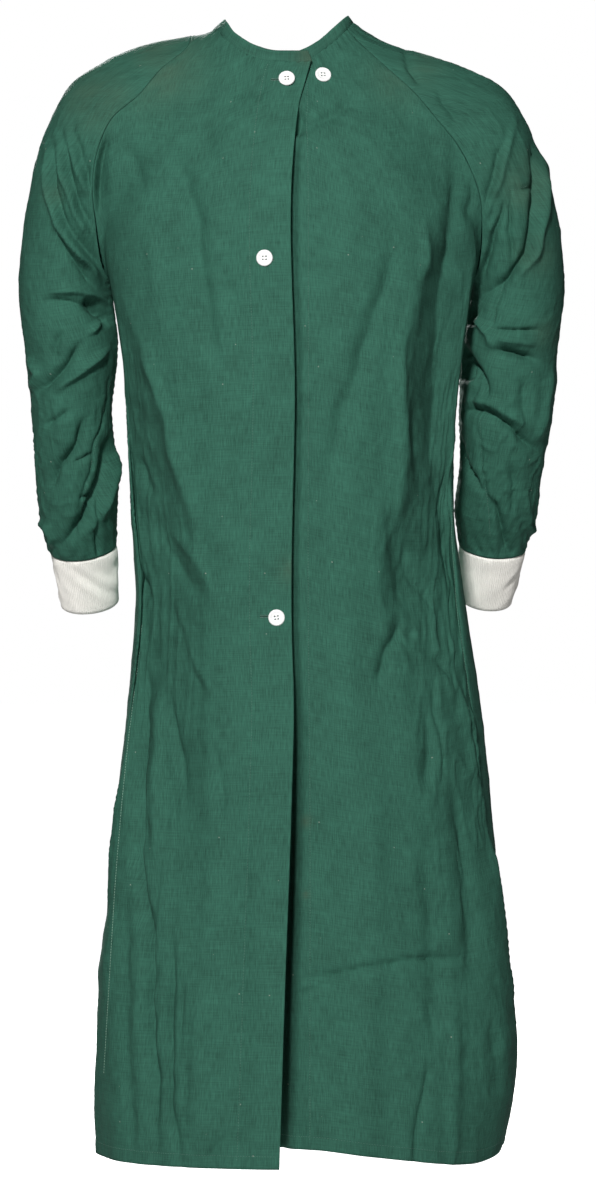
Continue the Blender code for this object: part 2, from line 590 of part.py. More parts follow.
def sleeve_grid(side):
    """Rows from the neck to the underarm, open at the raglan seams, then rings down to the cuff."""
    arm = ARMS[side]
    back, front = raglan("back", side, ROWS_RAGLAN + 1), raglan("front", side, ROWS_RAGLAN + 1)
    s = np.linspace(0, 1, COLUMNS_SLEEVE + 1)
    t_back, angle_back, radius_back = arm.polar(back)
    t_front, angle_front, radius_front = arm.polar(front)
    angle_back = np.where(angle_back > math.pi / 2, angle_back - 2 * math.pi, angle_back)
    angle_front = np.where(angle_front < -math.pi / 2, angle_front + 2 * math.pi, angle_front)
    angle_front[-1] = angle_back[-1] + 2 * math.pi
    top = neck_points("sleeve_right" if side > 0 else "sleeve_left", COLUMNS_SLEEVE + 1)[::-side]
    share = np.linspace(0, 1, ROWS_RAGLAN + 1)
    t_start = arm.place(top[len(top) // 2][None])[0]
    t_top = t_start + (t_back[-1] - t_start) * share
    t = t_back[:, None] * (1 - s) + t_front[:, None] * s
    t = t + (t_top - (t_back + t_front) / 2)[:, None] * 4 * s * (1 - s)
    angle = angle_back[:, None] * (1 - s) + angle_front[:, None] * s
    radius = 1 + (radius_back - 1)[:, None] * (1 - s) ** 3 + (radius_front - 1)[:, None] * s**3
    guess = arm.point(t, angle, radius)
    guess += (back - guess[:, 0])[:, None] * (1 - s)[None, :, None]
    guess += (front - guess[:, -1])[:, None] * s[None, :, None]
    fade = np.clip(1 - np.arange(ROWS_RAGLAN + 1) / SEWN_ROWS, 0, 1) ** 2
    guess += fade[:, None, None] * (top - guess[0])[None]
    upper = on_form(guess)
    upper[:, 0], upper[:, -1], upper[0] = back, front, top
    end = arm.knots[SLEEVE_END] - SEAM_GAP / 2
    steps = np.linspace(0, 1, ROWS_SLEEVE + 1)[1:]
    t_down = t_back[-1] + (end - t_back[-1]) * (0.45 * steps + 0.55 * steps**1.25)
    start = angle_back[-1] + (-math.pi - angle_back[-1]) * smooth_step(steps, 0, 0.5)
    angle = start[:, None] + 2 * math.pi * s[None, :]
    lower = on_form(arm.point(t_down[:, None] + 0 * angle, angle))
    return upper, lower


# ---------------------------------------------------------------- objects
COLLECTION = "surgical_gown"
GREEN = (0.045, 0.127, 0.082)
CREAM = (0.80, 0.77, 0.69)
WHITE = (0.86, 0.86, 0.84)


def material(name, colour, roughness):
    made = bpy.data.materials.new(name)
    made.use_nodes = True
    shader = made.node_tree.nodes["Principled BSDF"]
    shader.inputs["Base Color"].default_value = (*colour, 1)
    shader.inputs["Roughness"].default_value = roughness
    shader.inputs["Metallic"].default_value = 0
    return made


def cloth_object(name, points, faces, colour, thickness, collection):
    mesh = bpy.data.meshes.new(name)
    mesh.from_pydata(points.tolist(), [], faces)
    middle = mesh.polygons[len(faces) // 2]
    if np.array(middle.normal) @ form_normal(np.array([middle.center]))[0] < 0:
        mesh.flip_normals()
    mesh.shade_smooth()
    mesh.materials.append(material(name, colour, 0.85))
    made = bpy.data.objects.new(name, mesh)
    collection.objects.link(made)
    wall = made.modifiers.new("wall", "SOLIDIFY")
    wall.thickness = thickness
    wall.offset = 0
    return made


def seam_gap(points):
    """Half the gap along a seam, wider close under the arm, where the pieces meet at a crease."""
    near = np.min([np.linalg.norm(points - underarm(side), axis=-1) for side in (-1, 1)], axis=0)
    return SEAM_GAP / 2 + sum(gap * (1 - smooth_step(near, start, end)) for gap, start, end in CREASE_GAPS)


def drawn_in(edge, inner):
    """A sewn edge moved square to itself, towards the row or column beside it, by half the gap."""
    along = unit(np.gradient(edge, axis=0))
    across = inner - edge
    across = across - (across * along).sum(-1, keepdims=True) * along
    return edge + unit(across) * seam_gap(edge)[:, None]


def quads(index):
    """The faces between neighbouring rows and columns of a grid of point numbers."""
    corners = (index[:-1, :-1], index[:-1, 1:], index[1:, 1:], index[1:, :-1])
    return np.stack(corners, -1).reshape(-1, 4).tolist()


def numbered(rows, columns, first=0):
    return first + np.arange(rows * columns).reshape(rows, columns)


def panel(name, grid, sewn_first, collection):
    grid = grid.copy()
    if sewn_first:
        grid[:, 0] = drawn_in(grid[:, 0], grid[:, 1])
    grid[:, -1] = drawn_in(grid[:, -1], grid[:, -2])
    grid[0] += unit(grid[1] - grid[0]) * SEAM_GAP / 2
    faces = quads(numbered(*grid.shape[:2]))
    return cloth_object(name, grid.reshape(-1, 3), faces, GREEN, CLOTH, collection)


def sleeve(name, side, collection):
    upper, lower = sleeve_grid(side)
    rows, columns = upper.shape[:2]
    fade = seam_fade(rows, columns, True, False, True, True)
    ring_fade = np.ones(lower.shape[:2])
    ring_fade[0] = fade[-1]
    upper = draped(upper, "sleeve", fade)
    lower = draped(lower, "sleeve", smooth_step(np.arange(len(lower))[::-1], -1, 2)[:, None] * ring_fade)
    lower[:, -1] = lower[:, 0]
    back, front = drawn_in(upper[:, 0], upper[:, 1]), drawn_in(upper[:, -1], upper[:, -2])
    below = unit(lower[0, 0] - upper[-1, 0])
    upper[:, 0], upper[:, -1] = back, front
    upper[-1, 0] = upper[-1, -1] = underarm(side) + below * seam_gap(underarm(side)[None])
    upper[0] += unit(upper[1] - upper[0]) * SEAM_GAP / 2
    points = np.concatenate((upper[:-1].reshape(-1, 3), upper[-1, :-1], lower[:, :-1].reshape(-1, 3)))
    rings = numbered(1 + len(lower), columns - 1, (rows - 1) * columns)
    rings = np.concatenate((rings, rings[:, :1]), 1)
    faces = quads(np.concatenate((numbered(rows - 1, columns), rings)))
    return cloth_object(name, points, faces, GREEN, CLOTH, collection)


def cuff(name, side, collection):
    arm = ARMS[side]
    start = arm.knots[SLEEVE_END] + SEAM_GAP / 2
    t = np.linspace(start, arm.length, 5)
    angle = np.linspace(0, 2 * math.pi, 33)[:-1]
    grid = arm.point(t[:, None] + 0 * angle, angle[None] + 0 * t[:, None])
    rings = numbered(*grid.shape[:2])
    faces = quads(np.concatenate((rings, rings[:, :1]), 1))
    return cloth_object(name, grid.reshape(-1, 3), faces, CREAM, KNIT, collection)


def neckband(collection):
    """An open ring round the neck whose left end lies over its right end."""
    sleeve_count = COLUMNS_SLEEVE // 3 + 1
    counts = (COLUMNS_BACK, sleeve_count, COLUMNS_FRONT + 1, sleeve_count, COLUMNS_BACK + 2)
    parts = [neck_places(name, count) for name, count in zip(NECK_PARTS, counts)]
    places = np.concatenate([parts[0]] + [part[1:] for part in parts[1:]])
    seam = on_form(smooth_curve(NECK_KNOTS, NECK_TABLE[:, :3], places))
    rise = smooth_curve(NECK_KNOTS, NECK_TABLE[:, 3:] - NECK_TABLE[:, :3], places)
    over = places < NECK_KNOTS[-1] / 2
    move = np.where(over, lap_offset(seam, True), lap_offset(seam, False))
    seam = seam + move[:, None] * form_normal(seam)
    levels = np.array((0.0, 0.5, 1.0))
    start = unit(rise) * BAND_GAP
    grid = seam[None] + start[None] + (rise - start)[None] * levels[:, None, None]
    faces = quads(numbered(3, len(places)))
    return cloth_object("neckband", grid.reshape(-1, 3), faces, GREEN, KNIT, collection)


BUTTON_COLUMNS = ("name", "x", "z", "over")
BUTTONS = (
    ("button_neck", -0.0033, -0.0688, True),
    ("button_neck_spare", 0.0370, -0.0589, False),
    ("button_chest", -0.0269, -0.2649, True),
    ("button_hip", -0.0140, -0.6520, True),
)
BUTTON_PROFILE = (  # radius and height, from the middle of the top to the middle of the back
    (0.0, 0.0010),
    (0.0054, 0.0010),
    (0.0064, 0.0016),
    (0.0080, 0.0016),
    (0.0090, 0.0007),
    (0.0086, -0.0007),
    (0.0066, -0.0014),
    (0.0, -0.0014),
)
HOLE_RADIUS = 0.0009
HOLE_OFFSET = 0.0016
BUTTON_CLEAR = 0.0006  # between a button's back and the cloth


def button(name, x, z, over, collection, cutters):
    """A four-hole button turned about its own axis, flat on the cloth."""
    section = body_section(np.array([z]))
    base = on_form(np.array([(x, (section[4] - section[2])[0], z)]))
    spot = draped(base, "body", np.ones(1), over)[0]
    normal = form_normal(base)[0]
    mesh = bpy.data.meshes.new(name)
    lines = [(i, i + 1) for i in range(len(BUTTON_PROFILE) - 1)]
    mesh.from_pydata([(r, 0, h) for r, h in BUTTON_PROFILE], lines, [])
    made = bpy.data.objects.new(name, mesh)
    collection.objects.link(made)
    turn = made.modifiers.new("turn", "SCREW")
    turn.steps = turn.render_steps = 18
    turn.use_merge_vertices = True
    turn.merge_threshold = 0.00001
    turn.use_normal_calculate = True
    made.location = spot + normal * (CLOTH / 2 + BUTTON_CLEAR - BUTTON_PROFILE[-1][1])
    made.rotation_euler = mathutils.Vector(normal).to_track_quat("Z", "Y").to_euler()
    holes = bmesh.new()
    for i in range(4):
        angle = math.pi / 4 + i * math.pi / 2
        place = (HOLE_OFFSET * math.cos(angle), HOLE_OFFSET * math.sin(angle), 0)
        bmesh.ops.create_cone(
            holes,
            cap_ends=True,
            segments=6,
            radius1=HOLE_RADIUS,
            radius2=HOLE_RADIUS,
            depth=0.01,
            matrix=mathutils.Matrix.Translation(place),
        )
    cutter_mesh = bpy.data.meshes.new(name + "_holes")
    holes.to_mesh(cutter_mesh)
    holes.free()
    cutter = bpy.data.objects.new(name + "_holes", cutter_mesh)
    cutter.location, cutter.rotation_euler = made.location, made.rotation_euler
    cutter.hide_render = True
    cutter.display_type = "WIRE"
    cutters.objects.link(cutter)
    cut = made.modifiers.new("holes", "BOOLEAN")
    cut.operation = "DIFFERENCE"
    cut.object = cutter
    mesh.materials.append(material(name, WHITE, 0.35))
    return made


def main():
    for old in list(bpy.data.objects):
        bpy.data.objects.remove(old, do_unlink=True)
    gown = bpy.data.collections.new(COLLECTION)
    cutters = bpy.data.collections.new("cutters")
    cutters.hide_render = True
    for made in (gown, cutters):
        bpy.context.scene.collection.children.link(made)
    panel("front", front_grid(), True, gown)
    panel("back_left", back_left_grid(), False, gown)
    panel("back_right", back_right_grid(), False, gown)
    sleeve("sleeve_left", -1, gown)
    sleeve("sleeve_right", 1, gown)
    cuff("cuff_left", -1, gown)
    cuff("cuff_right", 1, gown)
    neckband(gown)
    for name, x, z, over in BUTTONS:
        button(name, x, z, over, gown, cutters)


if __name__ == "__main__":
    main()
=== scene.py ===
import math

import bpy
import numpy as np
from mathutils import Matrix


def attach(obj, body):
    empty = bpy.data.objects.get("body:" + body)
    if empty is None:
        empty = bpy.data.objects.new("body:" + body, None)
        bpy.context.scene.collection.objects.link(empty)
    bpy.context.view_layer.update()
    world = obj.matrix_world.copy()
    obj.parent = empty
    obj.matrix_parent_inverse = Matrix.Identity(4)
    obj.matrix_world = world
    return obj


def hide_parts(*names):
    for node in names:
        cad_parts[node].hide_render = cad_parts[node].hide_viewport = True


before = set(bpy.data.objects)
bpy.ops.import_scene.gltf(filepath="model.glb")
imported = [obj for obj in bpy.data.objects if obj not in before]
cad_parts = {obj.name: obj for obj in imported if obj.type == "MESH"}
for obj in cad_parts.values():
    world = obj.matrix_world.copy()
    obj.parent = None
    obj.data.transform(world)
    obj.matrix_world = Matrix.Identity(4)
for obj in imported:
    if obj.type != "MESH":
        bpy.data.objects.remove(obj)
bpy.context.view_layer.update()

print("frame loaded,", len(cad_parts), "nodes")

# The form that all the cloth follows: rounded body sections blended with two arm tubes, in metres.
# Each body row: height, reach to the left and right, depth of the back and front, how far forward the
# line of the sides lies, and the powers of the rounded outline behind and in front.
bodyRows = np.array([
    (0.03, 0.058, 0.055, 0.058, 0.062, 0.0, 2.0, 2.0),
    (0.01, 0.063, 0.064, 0.068, 0.074, 0.0, 2.0, 2.0),
    (-0.01, 0.074, 0.077, 0.076, 0.084, 0.0, 2.0, 2.0),
    (-0.03, 0.089, 0.09, 0.081, 0.09, 0.0, 2.0, 2.0),
    (-0.05, 0.105, 0.104, 0.086, 0.096, -0.001, 2.0, 2.0),
    (-0.08, 0.13, 0.126, 0.095, 0.105, -0.005, 2.1, 2.0),
    (-0.13, 0.166, 0.162, 0.107, 0.122, -0.014, 2.2, 2.0),
    (-0.18, 0.196, 0.193, 0.11, 0.138, -0.022, 2.2, 1.9),
    (-0.23, 0.206, 0.206, 0.107, 0.15, -0.03, 2.2, 1.8),
    (-0.3, 0.196, 0.198, 0.103, 0.156, -0.034, 2.2, 1.8),
    (-0.355, 0.187, 0.19, 0.104, 0.156, -0.033, 2.2, 1.8),
    (-0.444, 0.18, 0.181, 0.111, 0.148, -0.026, 2.2, 1.9),
    (-0.533, 0.174, 0.18, 0.123, 0.139, -0.014, 2.3, 2.1),
    (-0.622, 0.169, 0.191, 0.136, 0.133, -0.004, 2.3, 2.2),
    (-0.744, 0.18, 0.208, 0.148, 0.136, 0.0, 2.4, 2.3),
    (-0.877, 0.194, 0.223, 0.159, 0.146, 0.0, 2.4, 2.4),
    (-1.01, 0.203, 0.239, 0.168, 0.158, -0.002, 2.5, 2.5),
    (-1.143, 0.208, 0.25, 0.176, 0.168, -0.004, 2.5, 2.5),
    (-1.26, 0.213, 0.23, 0.182, 0.174, -0.006, 2.5, 2.5),
])
# Each arm row: x and z of the tube's line on the right and on the left, its y, half its width on the
# right and on the left, and half its depth.
armRows = np.array([
    (0.03, -0.074, 0.03, -0.078, 0.0, 0.04, 0.038, 0.046),
    (0.1, -0.08, 0.102, -0.074, 0.0, 0.058, 0.063, 0.062),
    (0.162, -0.098, 0.163, -0.089, 0.002, 0.063, 0.065, 0.07),
    (0.186, -0.116, 0.188, -0.11, 0.004, 0.0715, 0.0725, 0.071),
    (0.207, -0.141, 0.209, -0.137, 0.006, 0.0665, 0.0665, 0.07),
    (0.238, -0.21, 0.237, -0.208, 0.014, 0.0595, 0.057, 0.065),
    (0.253, -0.285, 0.25, -0.285, 0.026, 0.053, 0.0525, 0.06),
    (0.246, -0.35, 0.2445, -0.35, 0.034, 0.0525, 0.052, 0.06),
    (0.242, -0.42, 0.2445, -0.42, 0.042, 0.0515, 0.0445, 0.058),
    (0.237, -0.488, 0.24, -0.488, 0.058, 0.0465, 0.045, 0.053),
    (0.232, -0.533, 0.2385, -0.536, 0.074, 0.0455, 0.043, 0.047),
    (0.229, -0.572, 0.234, -0.574, 0.089, 0.0375, 0.037, 0.038),
    (0.2225, -0.631, 0.228, -0.635, 0.116, 0.029, 0.032, 0.033),
])
form = {
    "shoulderBlend": 0.06,  # how softly an arm joins the body at the shoulder
    "armpitBlend": 0.016,  # and under the arm
    "blendHeights": (-0.25, -0.13),  # where the one gives way to the other
    "webHeights": (-0.34, -0.2),  # between which the lowest place of the web is found
    "halvings": 30,
    "sleeveEnd": 11,  # the arm row where the sleeve ends and its cuff starts
    "underarm": (0.1975, 0.001),  # x and y where raglan, side and sleeve seams meet
}


# A smooth curve through the values at the knots: a cubic between each two, with each knot's mean slope.
def smoothCurve(knots, values, at):
    knots, values, at = (np.asarray(v, float) for v in (knots, values, at))
    slopes = np.gradient(values, knots, axis=0)
    i = np.clip(np.searchsorted(knots, at, side="right") - 1, 0, len(knots) - 2)
    span = knots[i + 1] - knots[i]
    t = np.clip((at - knots[i]) / span, 0, 1)
    if values.ndim > 1:
        t, span = t[..., None], span[..., None]
    rise = values[i + 1] - values[i]
    a, b = slopes[i] * span - rise, rise - slopes[i + 1] * span
    return values[i] + t * rise + t * (1 - t) * ((1 - t) * a + t * b)


# 0 below low and 1 above high, with a cubic between them that is level at both ends.
def smoothStep(value, low, high):
    t = np.clip((np.asarray(value, float) - low) / (high - low), 0, 1)
    return t * t * (3 - 2 * t)


# Vectors divided by their lengths.
def unit(vectors):
    return vectors / np.maximum(np.linalg.norm(vectors, axis=-1, keepdims=True), 1e-12)


# Distances along a line of points, from its first one.
def runAlong(points):
    return np.append(0, np.cumsum(np.linalg.norm(np.diff(points, axis=0), axis=1)))


# A table's values at places along a run, by straight steps between its rows.
def steppedAlong(places, run, table):
    return np.stack([np.interp(places, run, column) for column in table.T], 1)


# The body row's values at each height, on smooth curves down the table.
def bodySection(z):
    return np.moveaxis(smoothCurve(-bodyRows[:, 0], bodyRows[:, 1:], -np.asarray(z, float)), -1, 0)


# The angle and radius in the body's rounded outline, (|x|^power + |y|^power)^(1/power), 1 on it.
def bodyPolar(p):
    left, right, back, front, sideY, power, frontPower = bodySection(p[..., 2])
    x = p[..., 0] / np.where(p[..., 0] < 0, left, right)
    y = p[..., 1] - sideY
    power = np.where(y < 0, power, frontPower)
    y = y / np.where(y < 0, back, front)
    return np.arctan2(y, x), (np.abs(x) ** power + np.abs(y) ** power) ** (1 / power)


# The point at an angle and radius in that outline, at a height.
def bodyPoint(angle, radius, z):
    left, right, back, front, sideY, power, frontPower = bodySection(z)
    x, y = np.cos(angle), np.sin(angle)
    power = np.where(y < 0, power, frontPower)
    size = radius / (np.abs(x) ** power + np.abs(y) ** power) ** (1 / power)
    x, y = x * size, y * size
    return np.stack((x * np.where(x < 0, left, right), y * np.where(y < 0, back, front) + sideY, z), -1)


# About the distance from the body's outline: its radius less 1, over how fast the radius grows.
def bodyValue(p):
    left, right, back, front, sideY, power, frontPower = bodySection(p[..., 2])
    wide = np.where(p[..., 0] < 0, left, right)
    y = p[..., 1] - sideY
    power, deep = np.where(y < 0, power, frontPower), np.where(y < 0, back, front)
    x, y = np.abs(p[..., 0]) / wide + 1e-9, np.abs(y) / deep + 1e-9
    radius = (x**power + y**power) ** (1 / power)
    return (radius - 1) / np.hypot((x / radius) ** (power - 1) / wide, (y / radius) ** (power - 1) / deep)


# One arm's tube, sampled closely along its line; side is 1 on the right and -1 on the left.
class ArmTube:
    steps = 160
    nearest = 0.006  # metres along the line that a place may lie from its nearest sample

    # The samples' centres, directions and half sizes, and the rows' places along the line.
    def __init__(self, side):
        x, z, wide = (0, 1, 5) if side > 0 else (2, 3, 6)
        line = np.stack((armRows[:, x] * side, armRows[:, 4], armRows[:, z]), 1)
        self.knots = runAlong(line)
        self.length = self.knots[-1]
        self.t = np.linspace(0, self.length, self.steps + 1)
        self.centre = smoothCurve(self.knots, line, self.t)
        self.along = unit(np.gradient(self.centre, axis=0))
        ahead = np.array((0.0, 1.0, 0.0))
        forward = unit(ahead - self.along * (self.along @ ahead)[:, None])
        outward = side * np.cross(self.along, forward)
        sizes = smoothCurve(self.knots, armRows[:, [wide, 7]], self.t)
        self.table = np.concatenate((self.centre, forward, outward, sizes), 1)

    # The tube's centre, forward and outward directions and half sizes at places along its line.
    def at(self, t):
        step = np.clip(np.asarray(t, float) / self.length * self.steps, 0, self.steps)
        i = np.minimum(step.astype(int), self.steps - 1)
        row = self.table[i] + (self.table[i + 1] - self.table[i]) * (step - i)[..., None]
        return row[..., 0:3], row[..., 3:6], row[..., 6:9], row[..., 9], row[..., 10]

    # The nearest sample on the line, and then the part of the way from it that runs along the line.
    def place(self, p):
        flat = p.reshape(-1, 3)
        near = ((self.centre**2).sum(1) - 2 * flat @ self.centre.T).argmin(1)
        step = ((flat - self.centre[near]) * self.along[near]).sum(1)
        step = np.clip(step, -self.nearest, self.nearest)
        return np.clip(self.t[near] + step, 0, self.length).reshape(p.shape[:-1])

    # Place, angle and radius round the tube; the angle is 0 outwards and a quarter turn in front.
    def polar(self, p):
        t = self.place(p)
        centre, forward, outward, wide, deep = self.at(t)
        u = ((p - centre) * outward).sum(-1) / wide
        v = ((p - centre) * forward).sum(-1) / deep
        return t, np.arctan2(v, u), np.hypot(u, v)

    # The point on the tube at a place and angle.
    def point(self, t, angle, radius=1.0):
        centre, forward, outward, wide, deep = self.at(t)
        u, v = (radius * np.cos(angle) * wide)[..., None], (radius * np.sin(angle) * deep)[..., None]
        return centre + u * outward + v * forward

    # About the distance from the tube's surface, less than 0 inside.
    def value(self, p):
        t, _, radius = self.polar(p)
        distance = np.linalg.norm(p - self.at(t)[0], axis=-1)
        return distance - distance / np.maximum(radius, 1e-6)


arms = {1: ArmTube(1), -1: ArmTube(-1)}


# Body and arm joined by a smooth minimum of the two distances, wide at the shoulder, tight below it.
def formValue(p):
    flat = p.reshape(-1, 3)
    body, arm = bodyValue(flat), np.empty(len(flat))
    for side, tube in arms.items():
        here = (flat[:, 0] > 0) == (side > 0)
        arm[here] = tube.value(flat[here])
    soft, tight = form["shoulderBlend"], form["armpitBlend"]
    blend = tight + (soft - tight) * smoothStep(flat[:, 2], *form["blendHeights"])
    share = np.clip(0.5 + 0.5 * (arm - body) / blend, 0, 1)
    return (arm * (1 - share) + body * share - blend * share * (1 - share)).reshape(p.shape[:-1])


# The form's value and its slope along each axis, from small steps.
def formSlope(p, step=2e-4):
    value = formValue(p)
    return value, np.stack([(formValue(p + step * axis) - value) / step for axis in np.eye(3)], -1)


# Outward directions of the form.
def formNormal(p):
    return unit(formSlope(p)[1])


# Points moved along the form's slope until they lie on it, each time by the value over the slope squared.
def onForm(p, rounds=6, farthest=0.02, flattest=0.05):
    for _ in range(rounds):
        value, slope = formSlope(p)
        move = value / np.maximum((slope**2).sum(-1), flattest)
        p = p - np.clip(move, -farthest, farthest)[..., None] * slope
    return p


# The neckline's seam and the band's free edge above it, from the edge of the left back, past the left
# side, the front and the right side, to the hidden edge of the right back: x, y, z of both.
neckRows = np.array([
    (0.0228, -0.084, -0.0455, 0.019, -0.078, -0.0355),
    (0.0, -0.086, -0.048, 0.0, -0.079, -0.0362),
    (-0.019, -0.0845, -0.0466, -0.018, -0.078, -0.035),
    (-0.038, -0.079, -0.0418, -0.0355, -0.073, -0.0298),
    (-0.058, -0.063, -0.0305, -0.0535, -0.058, -0.0195),
    (-0.0715, -0.036, -0.0165, -0.064, -0.032, -0.0065),
    (-0.0805, -0.004, -0.0045, -0.07, -0.003, 0.0042),
    (-0.08, 0.022, -0.0075, -0.069, 0.02, 0.001),
    (-0.067, 0.052, -0.027, -0.0585, 0.048, -0.0175),
    (-0.045, 0.075, -0.053, -0.04, 0.07, -0.0425),
    (-0.02, 0.087, -0.075, -0.0175, 0.0815, -0.064),
    (0.0, 0.09, -0.081, 0.0, 0.0845, -0.0698),
    (0.02, 0.087, -0.0745, 0.0175, 0.0815, -0.0635),
    (0.043, 0.074, -0.05, 0.038, 0.069, -0.0395),
    (0.06, 0.051, -0.02, 0.054, 0.047, -0.0105),
    (0.069, 0.025, 0.002, 0.063, 0.023, 0.0105),
    (0.0705, -0.005, 0.0085, 0.066, -0.004, 0.015),
    (0.0592, -0.042, -0.008, 0.0545, -0.038, 0.0018),
    (0.0494, -0.058, -0.0185, 0.0455, -0.053, -0.008),
    (0.035, -0.072, -0.031, 0.0325, -0.067, -0.0205),
    (0.0174, -0.082, -0.0425, 0.0165, -0.076, -0.0305),
    (0.0, -0.085, -0.0478, 0.0, -0.0785, -0.0362),
    (-0.023, -0.083, -0.0465, -0.022, -0.077, -0.035),
    (-0.047, -0.074, -0.0385, -0.0435, -0.068, -0.027),
])
neckParts = {  # the first and last of these rows on each piece
    "leftBack": (0, 7), "leftSleeve": (7, 9), "front": (9, 15),
    "rightSleeve": (15, 17), "rightBack": (17, 23),
}
raglanRows = {  # x, y, z down each raglan seam, between the neckline and the underarm
    ("back", -1): [
        (-0.0999, 0.005, -0.0085), (-0.1175, -0.05, -0.03), (-0.137, -0.065, -0.0411),
        (-0.1755, -0.08, -0.0834), (-0.194, -0.08, -0.1), (-0.207, -0.078, -0.127),
        (-0.217, -0.07, -0.157), (-0.216, -0.058, -0.197), (-0.21, -0.038, -0.238),
        (-0.206, -0.022, -0.266),
    ],
    ("back", 1): [
        (0.1042, -0.07, -0.0375), (0.147, -0.085, -0.0822), (0.1765, -0.085, -0.1214),
        (0.193, -0.08, -0.143), (0.203, -0.075, -0.168), (0.211, -0.065, -0.195),
        (0.211, -0.048, -0.224), (0.2075, -0.026, -0.263),
    ],
    ("front", -1): [
        (-0.064, 0.08, -0.07), (-0.092, 0.085, -0.09), (-0.125, 0.08, -0.115),
        (-0.15, 0.07, -0.14), (-0.165, 0.062, -0.168), (-0.177, 0.05, -0.202),
        (-0.186, 0.034, -0.238), (-0.192, 0.017, -0.266),
    ],
    ("front", 1): [
        (0.085, 0.05, -0.02), (0.105, 0.07, -0.05), (0.128, 0.076, -0.092),
        (0.147, 0.071, -0.14), (0.162, 0.064, -0.168), (0.175, 0.052, -0.202),
        (0.185, 0.036, -0.24), (0.1915, 0.019, -0.268),
    ],
}
edgeRows = np.array([  # height, x of the left back's outer edge and of the right back's hidden one
    (-0.0455, 0.0228, -0.047), (-0.07, 0.0165, -0.047), (-0.092, 0.0108, -0.047),
    (-0.135, 0.0054, -0.0465), (-0.417, 0.0054, -0.046), (-0.665, 0.0021, -0.046),
    (-0.74, 0.0043, -0.045), (-0.847, 0.0021, -0.044), (-1.06, -0.0053, -0.044),
    (-1.24, -0.0107, -0.044),
])
sideRows = np.array([  # height, y of the left and right side seams
    (-0.268, 0.01, 0.01), (-0.33, 0.002, 0.0), (-0.44, -0.018, -0.02), (-0.56, -0.036, -0.044),
    (-0.68, -0.048, -0.062), (-0.86, -0.05, -0.062), (-1.04, -0.038, -0.05), (-1.24, -0.026, -0.03),
])
cut = {
    "hem": -1.236,
    "sideHems": {-1: -1.240, 1: -1.230},  # heights of the hem at the side seams
    "outerDrop": 0.002,  # the left back's corner hangs below the hem
    "underRise": 0.015,  # and the right back's hidden corner stands above it
    "cornerFrom": 0.9,
    "hemWave": ((0, 0.18, 0.38, 0.68, 0.88, 1), (0.0, 0.004, -0.004, -0.014, -0.006, 0.0)),
    "raglanRows": 10,
    "belowRows": 24,
    "ringRows": 15,  # rings of a sleeve below the underarm
    "columns": {"leftBack": 17, "rightBack": 19, "front": 25},  # points across a panel's coarse grid
    "rowSpread": (0.30, 0.70, 1.35),  # shares of even and of growing steps between rows, and their power
    "ringSpread": (0.45, 0.55, 1.25),
    "edgeStart": 0.99,  # share of the back's depth where the search for an opening edge starts
    "sewnRows": 5.0,  # rows that bend towards a seam or hem across their ends
    "lap": 0.0074,  # between the two backs where one lies over the other
    "lapEnds": (-0.100, -0.060, 0.034, 0.070),  # x where the lap starts, is full, is full still and ends
    "lapBehind": -0.02,  # only the cloth behind this y laps
    "outerLift": (0.013, -0.70, -1.10, -0.006, 0.050),  # most, from and to heights, x, width
    "underDrop": (0.044, -0.66, -0.98, -0.030, 0.050),
    "underShares": (0.45, 0.55),  # of that bell and of a step down beside the opening
    "underSide": (0.001, 0.017),  # where the step ends, to the right of the outer back's edge
    "underGroove": (0.011, 0.0015, 0.0105, 0.09, 0.17),  # depth, from and to beside that edge, below the neck
    "seamGap": 0.0005,
    "creaseGaps": ((0.0011, 0.035, 0.100), (0.0010, 0.007, 0.022)),  # gap, from and to the underarm
}
neckKnots = runAlong(neckRows[:, :3])


# Places spread evenly along a smooth curve through the points.
def alongCurve(points, count, samples=400):
    points = np.asarray(points, float)
    knots = runAlong(points)
    fine = smoothCurve(knots, points, np.linspace(0, knots[-1], samples))
    length = runAlong(fine)
    return steppedAlong(np.linspace(0, length[-1], count), length, fine)


# Points of one piece's share of the neckline, spread evenly along its curve.
def neckPoints(name, count):
    first, last = neckParts[name]
    places = np.linspace(neckKnots[first], neckKnots[last], count)
    return onForm(smoothCurve(neckKnots, neckRows[:, :3], places))


# The lowest place of the web between body and arm, found by halving the height's range.
def findUnderarm(side):
    x, y = form["underarm"]
    low, high = form["webHeights"]
    for _ in range(form["halvings"]):
        middle = (low + high) / 2
        inside = formValue(np.array([(side * x, y, middle)]))[0] < 0
        low, high = (low, middle) if inside else (middle, high)
    return np.array((side * x, y, middle))


underarms = {side: findUnderarm(side) for side in (-1, 1)}


# A raglan seam from the neckline to the underarm, on the form.
def raglanSeam(face, side):
    sleeve = neckPoints("rightSleeve" if side > 0 else "leftSleeve", 3)
    start = sleeve[-1] if (face == "back") == (side > 0) else sleeve[0]
    middle = onForm(np.array(raglanRows[face, side]))
    return onForm(alongCurve([start, *middle, underarms[side]], cut["raglanRows"] + 1))


# Shares from 0 to 1 whose steps grow: even * step + rest * step ** power.
def spread(steps, even, rest, power):
    return even * steps + rest * steps**power


# A body panel's outer side: the raglan seam, then the side seam down to the hem.
def bodySide(side, face):
    steps = np.linspace(0, 1, cut["belowRows"] + 1)[1:]
    top, bottom = underarms[side][2], cut["sideHems"][side]
    z = top + (bottom - top) * spread(steps, *cut["rowSpread"])
    y = smoothCurve(-sideRows[:, 0], sideRows[:, 2 if side > 0 else 1], -z)
    wide = bodySection(z)[1 if side > 0 else 0]
    angle, _ = bodyPolar(np.stack((side * wide, y, z), 1))
    return np.concatenate((raglanSeam(face, side), onForm(bodyPoint(angle, np.ones_like(z), z))))


